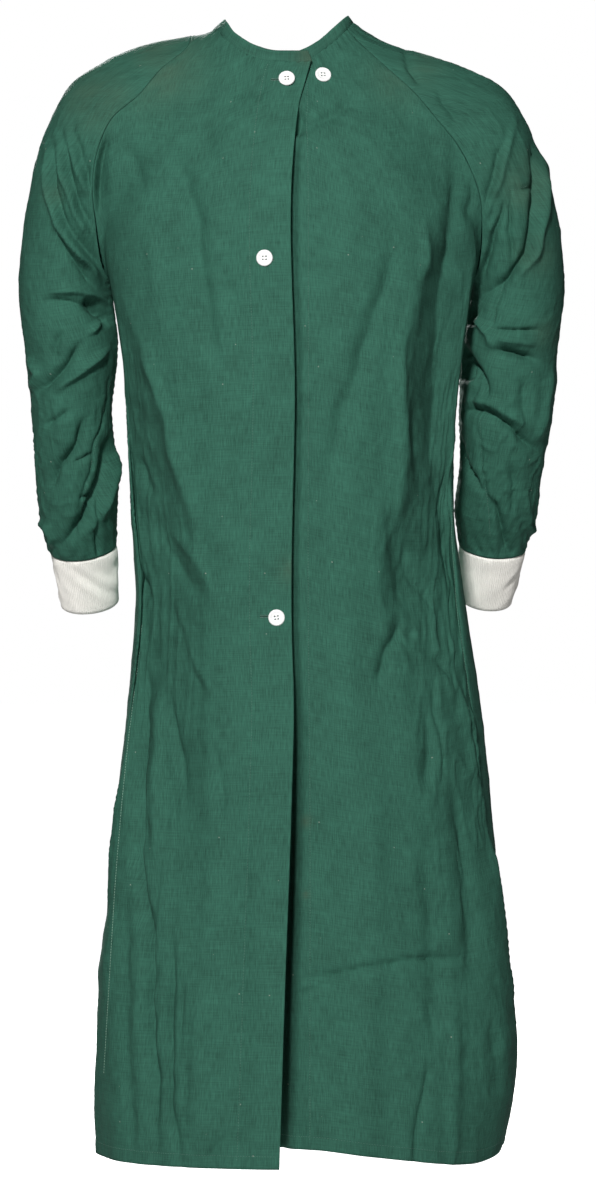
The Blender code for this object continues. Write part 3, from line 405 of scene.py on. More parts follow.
# An opening edge from the neckline to the hem, its heights spread as the outer side's are.
def openingSide(column, neckRow, cornerShift, outer):
    rows, top = cut["raglanRows"], neckRows[neckRow, 2]
    upper = top + (outer[rows, 2] - top) * np.linspace(0, 1, rows + 1)
    lower = outer[rows + 1 :, 2]
    lower = lower + (cut["hem"] + cornerShift - lower[-1]) * smoothStep(-lower, cut["cornerFrom"], -lower[-1])
    heights = np.append(upper, lower)
    x = smoothCurve(-edgeRows[:, 0], edgeRows[:, column], -heights)
    section = bodySection(heights)
    points = onForm(np.stack((x, section[4] - section[2] * cut["edgeStart"], heights), 1))
    points[0] = onForm(neckRows[neckRow, None, :3])[0]
    return points


# Radii that run from those of the two sides to 1 between them, by the cubes of the shares of the way.
def betweenSides(s, first, last):
    return 1 + (first - 1)[:, None] * (1 - s) ** 3 + (last - 1)[:, None] * s**3


# A grid's sides moved on to their seams, and its upper rows bent towards the top seam.
def drawnToSeams(grid, s, first, last, top):
    grid += (first - grid[:, 0])[:, None] * (1 - s)[None, :, None]
    grid += (last - grid[:, -1])[:, None] * s[None, :, None]
    fade = np.clip(1 - np.arange(len(grid)) / cut["sewnRows"], 0, 1) ** 2
    return grid + fade[:, None, None] * (top - grid[0])[None]


# Rows from the top seam to the hem, each round the form between the two sides' angles and heights.
def panelGrid(top, first, last, lowest, hem=None):
    s = np.linspace(0, 1, len(top))
    top[0], top[-1] = first[0], last[0]
    (angle0, radius0), (angle1, radius1) = bodyPolar(first), bodyPolar(last)
    angle0, angle1 = (np.mod(a - lowest, 2 * math.pi) + lowest for a in (angle0, angle1))
    angle = angle0[:, None] * (1 - s) + angle1[:, None] * s
    height = first[:, 2, None] * (1 - s) + last[:, 2, None] * s
    guess = drawnToSeams(bodyPoint(angle, betweenSides(s, radius0, radius1), height), s, first, last, top)
    if hem is not None:
        rise = np.clip(1 - np.arange(len(first))[::-1] / cut["sewnRows"], 0, 1) ** 2
        guess[..., 2] += rise[:, None] * smoothCurve(*hem, s)[None]
    grid = onForm(guess)
    grid[:, 0], grid[:, -1], grid[0] = first, last, top
    return grid


# A sleeve's rows from the neck to the underarm, open at the raglan seams, then rings down to the cuff.
def sleeveGrids(side, columns=24):
    arm, rows = arms[side], cut["raglanRows"]
    back, front = raglanSeam("back", side), raglanSeam("front", side)
    s = np.linspace(0, 1, columns + 1)
    (tBack, angleBack, radiusBack), (tFront, angleFront, radiusFront) = arm.polar(back), arm.polar(front)
    angleBack = np.where(angleBack > math.pi / 2, angleBack - 2 * math.pi, angleBack)
    angleFront = np.where(angleFront < -math.pi / 2, angleFront + 2 * math.pi, angleFront)
    angleFront[-1] = angleBack[-1] + 2 * math.pi
    top = neckPoints("rightSleeve" if side > 0 else "leftSleeve", columns + 1)[::-side]
    tStart = arm.place(top[len(top) // 2][None])[0]
    tTop = tStart + (tBack[-1] - tStart) * np.linspace(0, 1, rows + 1)
    t = tBack[:, None] * (1 - s) + tFront[:, None] * s
    t = t + (tTop - (tBack + tFront) / 2)[:, None] * 4 * s * (1 - s)
    angle = angleBack[:, None] * (1 - s) + angleFront[:, None] * s
    guess = arm.point(t, angle, betweenSides(s, radiusBack, radiusFront))
    upper = onForm(drawnToSeams(guess, s, back, front, top))
    upper[:, 0], upper[:, -1], upper[0] = back, front, top
    end = arm.knots[form["sleeveEnd"]] - cut["seamGap"] / 2
    steps = np.linspace(0, 1, cut["ringRows"])
    tDown = tBack[-1] + (end - tBack[-1]) * spread(steps, *cut["ringSpread"])
    start = angleBack[-1] + (-math.pi - angleBack[-1]) * smoothStep(steps, 0, 0.5)
    angle = start[:, None] + 2 * math.pi * s[None, :]
    lower = onForm(arm.point(tDown[:, None] + 0 * angle, angle))
    lower[0] = upper[-1]
    return upper, lower


viewing = {"from": (0.00888, -4.5, -0.6327), "frameHeight": 1.332, "sensor": 24.0}


# Where a point is seen in the plane of the sides from straight behind, or from as far in front of it, in
# millimetres: the line to the viewer meets y = 0.
def seenPlace(p, face="back"):
    x, away, z = viewing["from"]
    reach = -away / (-away + p[..., 1] * (1 if face == "back" else -1))
    return np.stack(((p[..., 0] - x) * reach + x, (p[..., 2] - z) * reach + z), -1) * 1000


# Random heights on a square lattice, blended smoothly between its corners, from -1 to 1.
def softNoise(u, v, seed, cells=97):
    lattice = np.random.default_rng(seed).uniform(-1, 1, (cells, cells))
    i, j = np.floor(u).astype(int), np.floor(v).astype(int)
    fu, fv = u - i, v - j
    fu, fv = fu * fu * (3 - 2 * fu), fv * fv * (3 - 2 * fv)
    i0, i1, j0, j1 = i % cells, (i + 1) % cells, j % cells, (j + 1) % cells
    low = lattice[i0, j0] * (1 - fu) + lattice[i1, j0] * fu
    high = lattice[i0, j1] * (1 - fu) + lattice[i1, j1] * fu
    return low * (1 - fv) + high * fv


folding = {
    "spacing": 9,  # millimetres between the points of a path once it is smooth
    "fewest": 4,
    "reach": 2.6,  # half widths from the path beyond which a fold has ended
    "ends": 0.3,  # share of the path over which it comes in, and goes again
}


# How far the folds move each point, inwards above 0, times a scale. A fold is its path, its half width
# before and after the path, its depth and its power: depth * exp(-(off / width) ** power), off being the
# distance from a smooth curve through the path's points, fading out towards both ends. "After" is to the
# right of a path that runs down, and above one that runs to the right.
def foldMove(seen, folds, scale):
    total = np.zeros(seen.shape[:-1])
    for path, before, after, depth, power in folds:
        path = np.array(path, float)
        knots = runAlong(path)
        count = max(folding["fewest"], int(knots[-1] / folding["spacing"]))
        path = smoothCurve(knots, path, np.linspace(0, knots[-1], count))
        starts = runAlong(path)
        room = folding["reach"] * max(before, after)
        near = ((seen > path.min(0) - room) & (seen < path.max(0) + room)).all(-1)
        q = seen[near]
        least, side, run = np.full(len(q), 1e9), np.zeros(len(q)), np.zeros(len(q))
        for a, b, start in zip(path[:-1], path[1:], starts[:-1]):
            step = b - a
            t = np.clip(((q - a) @ step) / (step @ step), 0, 1)
            off = q - a - t[:, None] * step
            far = np.hypot(off[:, 0], off[:, 1])
            closer = far < least
            least = np.where(closer, far, least)
            side = np.where(closer, step[0] * off[:, 1] - step[1] * off[:, 0], side)
            run = np.where(closer, start + t * np.hypot(*step), run)
        share = run / starts[-1]
        ends = smoothStep(share, 0, folding["ends"]) * (1 - smoothStep(share, 1 - folding["ends"], 1))
        off = least / np.where(side > 0, after, before)
        total[near] += scale * depth / 1000 * ends * np.exp(-(off**power))
    return total


# How far the lap moves the cloth outwards. The outer back stands off the one beneath it. That one falls
# away inwards from the hips down, by a bell across it and a step beside the opening, and lies deeper under
# the outer one's edge.
def lapMove(p, over):
    x, z = p[..., 0], p[..., 2]
    ends = cut["lapEnds"]
    lapped = smoothStep(x, *ends[:2]) * (1 - smoothStep(x, *ends[2:]))
    most, fromZ, toZ, middle, width = cut["outerLift"] if over else cut["underDrop"]
    shape = np.exp(-(((x - middle) / width) ** 2))
    if not over:
        beside = x - smoothCurve(-edgeRows[:, 0], edgeRows[:, 1], -z)
        bell, step = cut["underShares"]
        shape = bell * shape + step * (1 - smoothStep(beside, *cut["underSide"]))
    droop = most * smoothStep(-z, -fromZ, -toZ) * shape
    if not over:
        groove, near, far, start, full = cut["underGroove"]
        droop = droop + groove * (1 - smoothStep(beside, near, far)) * smoothStep(-z, start, full)
    return (cut["lap"] / 2 * lapped + droop) * (p[..., 1] < cut["lapBehind"]) * (1 if over else -1)


# The flanks' walls: height and ridge line in millimetres, slope, width in millimetres, slope beyond it.
flanks = {
    -1: [
        (-250, -200, 1.2, 90, 0), (-300, -186, 1.6, 90, 0), (-343, -169, 1.8, 90, 0),
        (-388, -155, 1.85, 90, 0), (-433, -142, 1.85, 90, 0), (-500, -122, 1.7, 90, 0),
        (-533, -112, 1.55, 90, 0), (-588, -103, 1.4, 68, 0.6), (-640, -95, 1.35, 66, 0.6),
        (-699, -94, 1.3, 64, 0.6), (-751, -93, 1.2, 66, 0.6), (-832, -91, 0.95, 80, 0.4),
        (-910, -90, 0.6, 100, 0.2), (-1021, -96, 0.35, 120, 0), (-1190, -110, 0.15, 120, 0),
        (-1300, -120, 0.1, 120, 0),
    ],
    1: [
        (-180, 172, 0.6, 20, 0.5), (-233, 158, 1.2, 20, 0.6), (-258, 149, 1.6, 20, 0.6),
        (-300, 142, 1.85, 22, 0.6), (-355, 134, 1.9, 27, 0.5), (-433, 128, 1.9, 30, 0.5),
        (-500, 124, 1.7, 34, 0.7), (-544, 120, 1.4, 50, 1.0), (-588, 102, 1.15, 80, 1.1),
        (-655, 104, 1.0, 90, 0.9), (-744, 130, 0.55, 90, 0.5), (-832, 152, 0.35, 90, 0.35),
        (-1000, 165, 0.15, 90, 0.15), (-1300, 170, 0.1, 90, 0.1),
    ],
}


flankShape = {
    "facing": 0.1,  # cloth that faces farther the other way isn't taken for the ridge
    "averaged": 13,  # rows that the ridge's place is averaged over
    "corner": 0.003,  # rounds the wall's corners
    "starts": (-4, 7),  # millimetres beyond the ridge between which the wall takes over
    "reach": 120,  # and beyond which it has ended
}


# How far a flank of the back or front falls in from its round form, in metres along y: beyond a ridge line
# the cloth runs straight inwards at a slope for a width, then at a gentler one. The soft maximum keeps the
# deeper of the form and that line: (difference + sqrt(difference ** 2 + corner ** 2)) / 2.
def flankMove(grid, normal, side, face, share, wobble):
    rows = np.array(flanks[side], float) * (1, 1, share, 1, share)
    inwards, averaged = 1 if face == "back" else -1, flankShape["averaged"]
    seen = seenPlace(grid, face)
    ridge, slope, width, beyond = (smoothCurve(-rows[:, 0], rows[:, i], -seen[..., 1]) for i in range(1, 5))
    away = (seen[..., 0] + wobble - ridge) * side
    depth = grid[..., 1] * inwards
    nearest = (np.abs(away) + 1e4 * (normal[..., 1] * inwards > flankShape["facing"])).argmin(1)
    start = depth[np.arange(len(grid)), nearest]
    start = np.convolve(np.pad(start, averaged // 2, mode="edge"), np.ones(averaged) / averaged, "valid")
    line = start[:, None] + (slope * np.clip(away, 0, width) + beyond * np.clip(away - width, 0, None)) / 1000
    deeper = (line - depth + np.sqrt((line - depth) ** 2 + flankShape["corner"] ** 2)) / 2
    return inwards * deeper * smoothStep(away, *flankShape["starts"]) * (away < flankShape["reach"])


# Row or column places that spread a grid's points evenly by their mean distance along that direction.
def evenPlaces(grid, axis, count):
    steps = np.linalg.norm(np.diff(grid, axis=axis), axis=-1).mean(1 - axis)
    run = np.append(0, np.cumsum(steps))
    return np.interp(np.linspace(0, run[-1], count), run, np.arange(len(run)))


# Smooth curves carried through a grid's points along its rows and then its columns, then laid on the form.
def refined(grid, rows, columns):
    r, c = grid.shape[:2]
    long = smoothCurve(np.arange(r), grid.reshape(r, -1), evenPlaces(grid, 0, rows)).reshape(rows, c, 3)
    wide = smoothCurve(np.arange(c), long.transpose(1, 0, 2).reshape(c, -1), np.linspace(0, c - 1, columns))
    return onForm(wide.reshape(columns, rows, 3).transpose(1, 0, 2), 2)


# Distances over a grid, in metres: from its first and last column along each row, and from its first and
# last row along each column.
def gridReach(grid):
    across = np.cumsum(np.linalg.norm(np.diff(grid, axis=1, prepend=grid[:, :1]), axis=-1), axis=1)
    down = np.cumsum(np.linalg.norm(np.diff(grid, axis=0, prepend=grid[:1]), axis=-1), axis=0)
    return {"first": across, "last": across[:, -1:] - across, "top": down, "bottom": down[-1:] - down}


# Half the gap along a seam, wider close under the arm, where the pieces meet at a crease.
def seamGap(points):
    near = np.min([np.linalg.norm(points - place, axis=-1) for place in underarms.values()], axis=0)
    return cut["seamGap"] / 2 + sum(gap * (1 - smoothStep(near, a, b)) for gap, a, b in cut["creaseGaps"])


# A sewn edge moved square to itself towards the line beside it by half the gap.
def drawnIn(edge, inner):
    along = unit(np.gradient(edge, axis=0))
    across = inner - edge
    across = across - (across * along).sum(-1, keepdims=True) * along
    return edge + unit(across) * seamGap(edge)[:, None]


sewing = {  # in millimetres
    "stiff": 9.0,  # a seam holds the folds off this far from it
    "pucker": 0.55,  # height of the ripples beside a seam
    "puckerPitch": 9.0,
    "puckerReach": 5,
    "puckerWander": (2.5, 31),  # how far its phase wanders, and over what length
    "puckerHeight": (0.65, 0.6, 23),  # mean, change and the length it changes over
    "groove": 0.5,  # depth of the seam's own groove
    "grooveWidth": 2.2,
    "topGroove": 0.3,  # share of that depth at a piece's top
    "doubledRise": 0.35,  # the doubled cloth of a hem or facing stands this far proud
    "doubledEdge": 1.2,
    "doubledGroove": (0.45, 1.6),  # depth and width of the groove at its stitches
    "doubledRipple": (0.30, 6.5, 6),  # height, pitch over 2 pi and reach of the ripples there
    "rippleWander": (3, 30),  # how far their phase wanders, and how often in a metre
    "seamWear": (0.22, 2.4),  # strength and width of the worn line along a seam
    "edgeWear": (0.8, 2.0),  # and along a hem or facing edge
    "gatherPitch": 15,
    "gatherStart": 7,
    "gatherReach": 16,
    "gatherWander": (2.6, 60, 40),  # how far its phase wanders, and how often in a metre both ways
    "gatherHeight": (0.7, 0.5, 40),  # mean, change and how often in a metre it changes
}
creasing = {
    "wobble": (2.2, 45),  # millimetres that wander the folds' places, and how often in a metre
    "big": (26.0, 0.6),  # size of the big creases, and their share of that across the piece's length
    "small": 11.0,
    "soft": (24, 4.5),  # how often in a metre the soft waves come, both ways
    "bend": (2.3, 0.8, 0.6),  # how much coarser the noise that bends them is, and its strength both ways
    "mean": 0.35,  # taken off, so that the creases leave the cloth where it is
    "patchFacing": 0.3,  # the finely creased patches lie on cloth that faces forward less than this
}


# Ripples beside a seam: off * exp(1 - off / reach) times a wave along it whose phase and height wander.
def puckers(off, run, seed):
    off, along = off * 1000 / sewing["puckerReach"], run * 1000
    far, length = sewing["puckerWander"]
    mean, change, over = sewing["puckerHeight"]
    wander = far * softNoise(along / length, along * 0, seed)
    wave = np.sin(2 * math.pi * along / sewing["puckerPitch"] + wander)
    wave = wave * (mean + change * softNoise(along / over, 0 * along, seed + 1))
    return sewing["pucker"] / 1000 * off * np.exp(1 - off) * wave


# Small dry creases: 1 less the size of a noise, cubed, so that its zero lines stand up as ridges.
def crinkles(u, v, size, seed):
    coarser, across, along = creasing["bend"]
    bend = softNoise(u / size / coarser, v / size / coarser, seed + 7)
    ridge = 1 - np.abs(softNoise(u / size + bend * across, v / size - bend * along, seed))
    return ridge**3 - creasing["mean"]


# How far folds, creases and gathers move a piece's points outwards, and how far the folds' places wander.
def creaseMove(grid, normal, reach, look):
    seed = look["seed"]
    u, v = reach["first"] - reach["first"][:, -1:] / 2, reach["bottom"]
    most, often = creasing["wobble"]
    wobble = most * np.stack([softNoise(u * often, v * often, seed + i) for i in (0, 1)], -1)
    move = np.zeros(grid.shape[:2])
    for face in ("back", "front"):
        towards = -normal[..., 1] if face == "back" else normal[..., 1]
        shown = smoothStep(towards, *look["shown"])
        if look.get(face):
            move -= foldMove(seenPlace(grid, face) + wobble, look[face], look["foldScale"]) * shown
    big, small, soft = look["creases"]
    size, share = creasing["big"]
    move += big / 1000 * crinkles(u * 1000, v * 1000 * share, size, seed + 11)
    move += small / 1000 * crinkles(u * 1000, v * 1000, creasing["small"], seed + 12)
    across, along = creasing["soft"]
    move += soft / 1000 * softNoise(u * across, v * along, seed + 13)
    for (x, z), (wide, tall), depth, pitch, stretch in look.get("fine", ()):
        seen = seenPlace(grid)
        part = np.exp(-(((seen[..., 0] - x) / wide) ** 4) - ((seen[..., 1] - z) / tall) ** 4)
        part = part * (normal[..., 1] < creasing["patchFacing"])
        move += depth / 1000 * part * crinkles(u * 1000, v * 1000 / stretch, pitch, seed + 15)
    if "gather" in look:
        low = reach["bottom"] * 1000
        phase = reach["first"] * 1000 * 2 * math.pi / sewing["gatherPitch"]
        far, across, along = sewing["gatherWander"]
        mean, change, often = sewing["gatherHeight"]
        wave = np.sin(phase + far * softNoise(u * across, v * along, seed + 17))
        fade = smoothStep(low, 0, sewing["gatherStart"]) * np.exp(-low / sewing["gatherReach"])
        height = mean + change * softNoise(u * often, v * 0, seed + 18)
        move += look["gather"] / 1000 * wave * fade * height
    return move, wobble


# The same move with each seam's groove and ripples, and each hem's or facing's doubled cloth and stitches.
def sewnMove(move, reach, look, sewn):
    for i, name in enumerate(sewn):
        off, run = reach[name], reach["top" if name in ("first", "last") else "first"]
        move = move + puckers(off, run, look["seed"] + 20 + i)
        depth = sewing["groove"] * (sewing["topGroove"] if name == "top" else 1) / 1000
        move -= depth * np.exp(-((off * 1000 / sewing["grooveWidth"]) ** 2))
    u, v = reach["first"] - reach["first"][:, -1:] / 2, reach["bottom"]
    depth, wide = sewing["doubledGroove"]
    height, pitch, far = sewing["doubledRipple"]
    wander, often = sewing["rippleWander"]
    for name, width in look.get("doubled", ()):
        off = reach[name] * 1000
        edge = smoothStep(off, width - sewing["doubledEdge"], width + sewing["doubledEdge"])
        move += sewing["doubledRise"] / 1000 * (1 - edge)
        move -= depth / 1000 * np.exp(-(((off - width) / wide) ** 2))
        run = reach["first" if name == "bottom" else "top"] * 1000
        ripple = np.sin(run / pitch + wander * softNoise(u * often, v * often, look["seed"] + 31))
        move += height / 1000 * ripple * np.exp(-(((off - width) / far) ** 2))
    return move


# A piece's fine surface from its grid on the form: folds and creases, held off the seams, then the sewing
# and the lap are carried along the form's normals, and the flanks' fall along y. Gives wear and reach too.
def drapedCloth(grid, look, over=None, sewn=("top", "first", "last")):
    reach, normal = gridReach(grid), formNormal(grid)
    hold = np.ones(grid.shape[:2])
    for name in sewn:
        hold = hold * smoothStep(reach[name] * 1000, 0, sewing["stiff"])
    move, wobble = creaseMove(grid, normal, reach, look)
    move = sewnMove(move * hold, reach, look, sewn)
    if over is not None:
        move = move + lapMove(grid, over)
    wear, fall = np.zeros(grid.shape[:2]), np.zeros(grid.shape[:2])
    lines = [(name, sewing["seamWear"]) for name in sewn]
    lines += [(name, sewing["edgeWear"]) for name, _ in look.get("doubled", ())]
    for name, (strength, width) in lines:
        wear = np.maximum(wear, strength * np.exp(-((reach[name] * 1000 / width) ** 2)))
    for side, face, share in look.get("flanks", ()):
        fall += flankMove(grid, normal, side, face, share, wobble[..., 0]) * hold
    return grid + move[..., None] * normal + fall[..., None] * (0, 1.0, 0), wear, reach


# Corners of the faces between neighbouring rows and columns of a grid of numbers.
def faceCorners(index, turned):
    corners = [index[:-1, :-1], index[:-1, 1:], index[1:, 1:], index[1:, :-1]]
    return np.stack(corners[::-1] if turned else corners, -1).reshape(-1, 4)


# Outward directions of a finished grid, from its neighbours' differences.
def gridNormal(grid, turned):
    across, down = np.gradient(grid, axis=1), np.gradient(grid, axis=0)
    return unit(np.cross(across, down)) * (-1 if turned else 1)


# Whether the faces have to be wound the other way to point outwards, away from a centre or from the form,
# tested halfway down the grid.
def windsInwards(grid, centre=None, part=2):
    i, j = grid.shape[0] // 2, grid.shape[1] // part
    sides = np.cross(grid[i, j + 1] - grid[i, j], grid[i + 1, j] - grid[i, j])
    return bool(sides @ (formNormal(grid[i, j][None])[0] if centre is None else grid[i, j] - centre) < 0)


# A new object in the scene.
def newObject(name, data):
    made = bpy.data.objects.new(name, data)
    bpy.context.scene.collection.objects.link(made)
    return made


# A new object with a mesh of points and of faces, each a list of point numbers.
def meshObject(name, points, faces):
    mesh = bpy.data.meshes.new(name)
    mesh.from_pydata(points.tolist(), [], faces)
    return newObject(name, mesh)


# A mesh of a grid's points with its pattern map in metres and its values at the points. joined gives the
# point that each grid place uses, so that rings close; the map keeps the grid's own places.
def clothMesh(name, grid, uv, values, turned, joined=None):
    rows, columns = grid.shape[:2]
    own = np.arange(rows * columns).reshape(rows, columns)
    faces = faceCorners(own if joined is None else joined, turned)
    used, numbers = np.unique(faces, return_inverse=True)
    made = meshObject(name, grid.reshape(-1, 3)[used], numbers.reshape(-1, 4).tolist())
    mesh = made.data
    mesh.uv_layers.new(name="weave").data.foreach_set(
        "uv", uv.reshape(-1, 2)[faceCorners(own, turned).ravel()].astype(np.float32).ravel()
    )
    for key, value in values.items():
        mark = mesh.attributes.new(key, "FLOAT", "POINT")
        mark.data.foreach_set("value", value.ravel()[used].astype(np.float32))
    mesh.shade_smooth()
    return made


# Joins a node's inputs to sockets or sets them to values, and returns the node.
def addNode(tree, kind, inputs=None, **settings):
    made = tree.nodes.new("ShaderNode" + kind)
    for key, value in settings.items():
        setattr(made, key, value)
    for key, value in (inputs or {}).items():
        if isinstance(value, bpy.types.NodeSocket):
            tree.links.new(value, made.inputs[key])
        else:
            made.inputs[key].default_value = value
    return made


# A number worked out from one or two others by a Math node.
def sumNode(tree, operation, a, b=0.0, c=0.0):
    return addNode(tree, "Math", {0: a, 1: b, 2: c}, operation=operation).outputs[0]


# A new node group with its input sockets, each a name, a kind and a value, and the three outputs.
def newGroup(name, *inputs):
    group = bpy.data.node_groups.new(name, "ShaderNodeTree")
    for label, kind, value in (("Place", "Vector", None), *inputs):
        socket = group.interface.new_socket(label, in_out="INPUT", socket_type="NodeSocket" + kind)
        if value is not None:
            socket.default_value = value
    for label, kind in (("Colour", "Color"), ("Roughness", "Float"), ("Height", "Float")):
        group.interface.new_socket(label, in_out="OUTPUT", socket_type="NodeSocket" + kind)
    return group, group.nodes.new("NodeGroupInput").outputs, group.nodes.new("NodeGroupOutput").inputs


# Links a group's colour, roughness and height to its outputs.
def putOut(group, leave, *results):
    for label, result in zip(("Colour", "Roughness", "Height"), results):
        group.links.new(result, leave[label])
    return group


# Noise stretched by a scale along each direction of the pattern map, from 0 to 1.
def stretchedNoise(tree, place, scale, detail=2.0):
    moved = addNode(tree, "VectorMath", {0: place, 1: scale}, operation="MULTIPLY").outputs[0]
    return addNode(tree, "TexNoise", {"Vector": moved, "Scale": 1.0, "Detail": detail}).outputs[0]


# A colour scaled by a level.
def scaledColour(tree, colour, level):
    return addNode(tree, "VectorMath", {0: colour, "Scale": level}, operation="SCALE").outputs[0]


# Two colours mixed by a factor.
def mixColour(tree, factor, a, b):
    return addNode(tree, "Mix", {0: factor, 6: a, 7: b}, data_type="RGBA").outputs[2]


weave = {  # each noise's scales along the map, detail, share of the shade and share of the height
    "warp": ((900.0, 70.0, 1.0), 3.0, 0.98, 0.00030),
    "weft": ((34.0, 900.0, 1.0), 3.0, 0.56, 0.00016),
    "patch": ((34.0, 26.0, 1.0), 5.0, 0.46, 0),
    "broad": ((6.0, 4.5, 1.0), 3.0, 0.22, 0),
    "crease": ((150.0, 110.0, 1.0), 4.0, 0, 0.00085),
}
weaveLevel = -0.205  # brings the mean of the shade near 1
threadHeight = 0.00003
lint = {"Scale": 62.0, "radius": 0.05, "fewer": 0.66, "share": 0.35, "Colour": (0.42, 0.45, 0.38, 1)}


# Plain woven cotton: uneven threads both ways as long thin noise, patches of fading, brown age marks, paler
# worn seams and specks of lint; its height adds the threads, their crossings and small dry creases.
def wovenGroup():
    group, enter, leave = newGroup(
        "wovenCotton",
        ("Colour", "Color", (0.05, 0.14, 0.1, 1)), ("Age", "Color", (0.12, 0.1, 0.06, 1)),
        ("Wear", "Float", 0.0), ("Stain", "Float", 0.0), ("Thread", "Float", 0.00052),
    )
    place = enter["Place"]
    noise = {key: stretchedNoise(group, place, row[0], row[1]) for key, row in weave.items()}
    axes = addNode(group, "SeparateXYZ", {0: place})
    turn = sumNode(group, "DIVIDE", 2 * math.pi, enter["Thread"])
    over, under = (sumNode(group, "SINE", sumNode(group, "MULTIPLY", axes.outputs[i], turn)) for i in (0, 1))
    level = weaveLevel
    height = sumNode(group, "MULTIPLY", sumNode(group, "MULTIPLY", over, under), threadHeight)
    for key, (_, _, shade, relief) in weave.items():
        level = sumNode(group, "MULTIPLY_ADD", noise[key], shade, level) if shade else level
        height = sumNode(group, "MULTIPLY_ADD", noise[key], relief, height) if relief else height
    shade = scaledColour(group, enter["Colour"], level)
    patchy = sumNode(group, "MULTIPLY_ADD", noise["patch"], 1.3, -0.2)
    mark = sumNode(group, "MULTIPLY", enter["Stain"], patchy)
    aged = mixColour(group, sumNode(group, "MULTIPLY", mark, 0.75), shade, enter["Age"])
    creased = sumNode(group, "MULTIPLY_ADD", noise["crease"], 0.9, 0.15)
    rubbed = sumNode(group, "MULTIPLY", enter["Wear"], creased)
    worn = mixColour(group, rubbed, aged, scaledColour(group, aged, 1.5))
    cells = addNode(group, "TexVoronoi", {"Vector": place, "Scale": lint["Scale"]})
    speck = sumNode(group, "LESS_THAN", cells.outputs["Distance"], lint["radius"])
    pick = addNode(group, "SeparateColor", {0: cells.outputs["Color"]}).outputs[0]
    chosen = sumNode(group, "MULTIPLY", speck, sumNode(group, "GREATER_THAN", pick, lint["fewer"]))
    colour = mixColour(group, sumNode(group, "MULTIPLY", chosen, lint["share"]), worn, lint["Colour"])
    return putOut(group, leave, colour, sumNode(group, "MULTIPLY_ADD", noise["patch"], 0.14, 0.76), height)


# Ribbed knit: loops as chevrons along each rib, soft fading and a little soiling; the colour is also lighter
# on the loops' tops and darker at each rib's edges, painted shade in the knit's hollows.
def knitGroup():
    group, enter, leave = newGroup(
        "ribbedKnit",
        ("Colour", "Color", (0.8, 0.77, 0.7, 1)), ("Rib", "Float", 0.00224), ("Course", "Float", 0.0011),
    )
    axes = addNode(group, "SeparateXYZ", {0: enter["Place"]})
    across = sumNode(group, "FRACT", sumNode(group, "DIVIDE", axes.outputs[0], enter["Rib"]))
    tip = sumNode(group, "ABSOLUTE", sumNode(group, "SUBTRACT", across, 0.5))
    along = sumNode(group, "ADD", sumNode(group, "DIVIDE", axes.outputs[1], enter["Course"]), tip)
    loop = sumNode(group, "ABSOLUTE", sumNode(group, "SINE", sumNode(group, "MULTIPLY", along, math.pi)))
    patch = stretchedNoise(group, enter["Place"], (70.0, 45.0, 1.0), 4.0)
    level = sumNode(group, "MULTIPLY_ADD", patch, 0.26, 0.80)
    # painted shade: lighter where the loops stand up, darker towards the edges of each rib
    level = sumNode(group, "MULTIPLY_ADD", loop, 0.10, level)
    level = sumNode(group, "SUBTRACT", level, sumNode(group, "MULTIPLY", tip, 0.18))
    rough = sumNode(group, "MULTIPLY_ADD", patch, 0.1, 0.82)
    height = sumNode(group, "MULTIPLY", loop, 0.00016)
    return putOut(group, leave, scaledColour(group, enter["Colour"], level), rough, height)


# Sewing thread, the painted slit shadow strip and moulded plastic: one fine even noise, its scale and its
# height given.
def fineGroup():
    group, enter, leave = newGroup(
        "fineFinish",
        ("Colour", "Color", (0.8, 0.8, 0.8, 1)), ("Size", "Float", 900.0), ("Depth", "Float", 0.00003),
    )
    grain = {"Vector": enter["Place"], "Scale": enter["Size"], "Detail": 3.0}
    noise = addNode(group, "TexNoise", grain).outputs[0]
    shade = scaledColour(group, enter["Colour"], sumNode(group, "MULTIPLY_ADD", noise, 0.24, 0.88))
    rough = sumNode(group, "MULTIPLY_ADD", noise, 0.2, 0.2)
    return putOut(group, leave, shade, rough, sumNode(group, "MULTIPLY", noise, enter["Depth"]))


finishes = {  # each material's values for its group
    "greenCotton": {"Colour": (0.0308, 0.112, 0.078, 1), "Age": (0.080, 0.078, 0.045, 1), "Thread": 0.00052},
    "greenBand": {"Colour": (0.0308, 0.1075, 0.075, 1), "Age": (0.080, 0.075, 0.044, 1), "Thread": 0.00052},
    "creamKnit": {"Colour": (0.95, 0.925, 0.865, 1), "Rib": 0.00224, "Course": 0.0011},
    "greenThread": {"Colour": (0.038, 0.121, 0.086, 1), "Size": 2600.0, "Depth": 0.00002},
    # partly painted highlight: real seam stitches, given a pale colour that stands in for the light along the
    # seam ridges
    "highlightThread": {"Colour": (0.17, 0.30, 0.23, 1), "Size": 2600.0, "Depth": 0.00002},
    # painted shadow: the near-black colour of the strip laid in each buttonhole's slit
    "paintedSlitShadow": {"Colour": (0.012, 0.022, 0.017, 1), "Size": 2600.0, "Depth": 0.00002},
    "whiteThread": {"Colour": (0.70, 0.69, 0.66, 1), "Size": 2600.0, "Depth": 0.00002},
    "whitePlastic": {"Colour": (0.81, 0.81, 0.80, 1), "Size": 140.0, "Depth": 0.00001},
}
woven, knitted, fineFinish = wovenGroup(), knitGroup(), fineGroup()


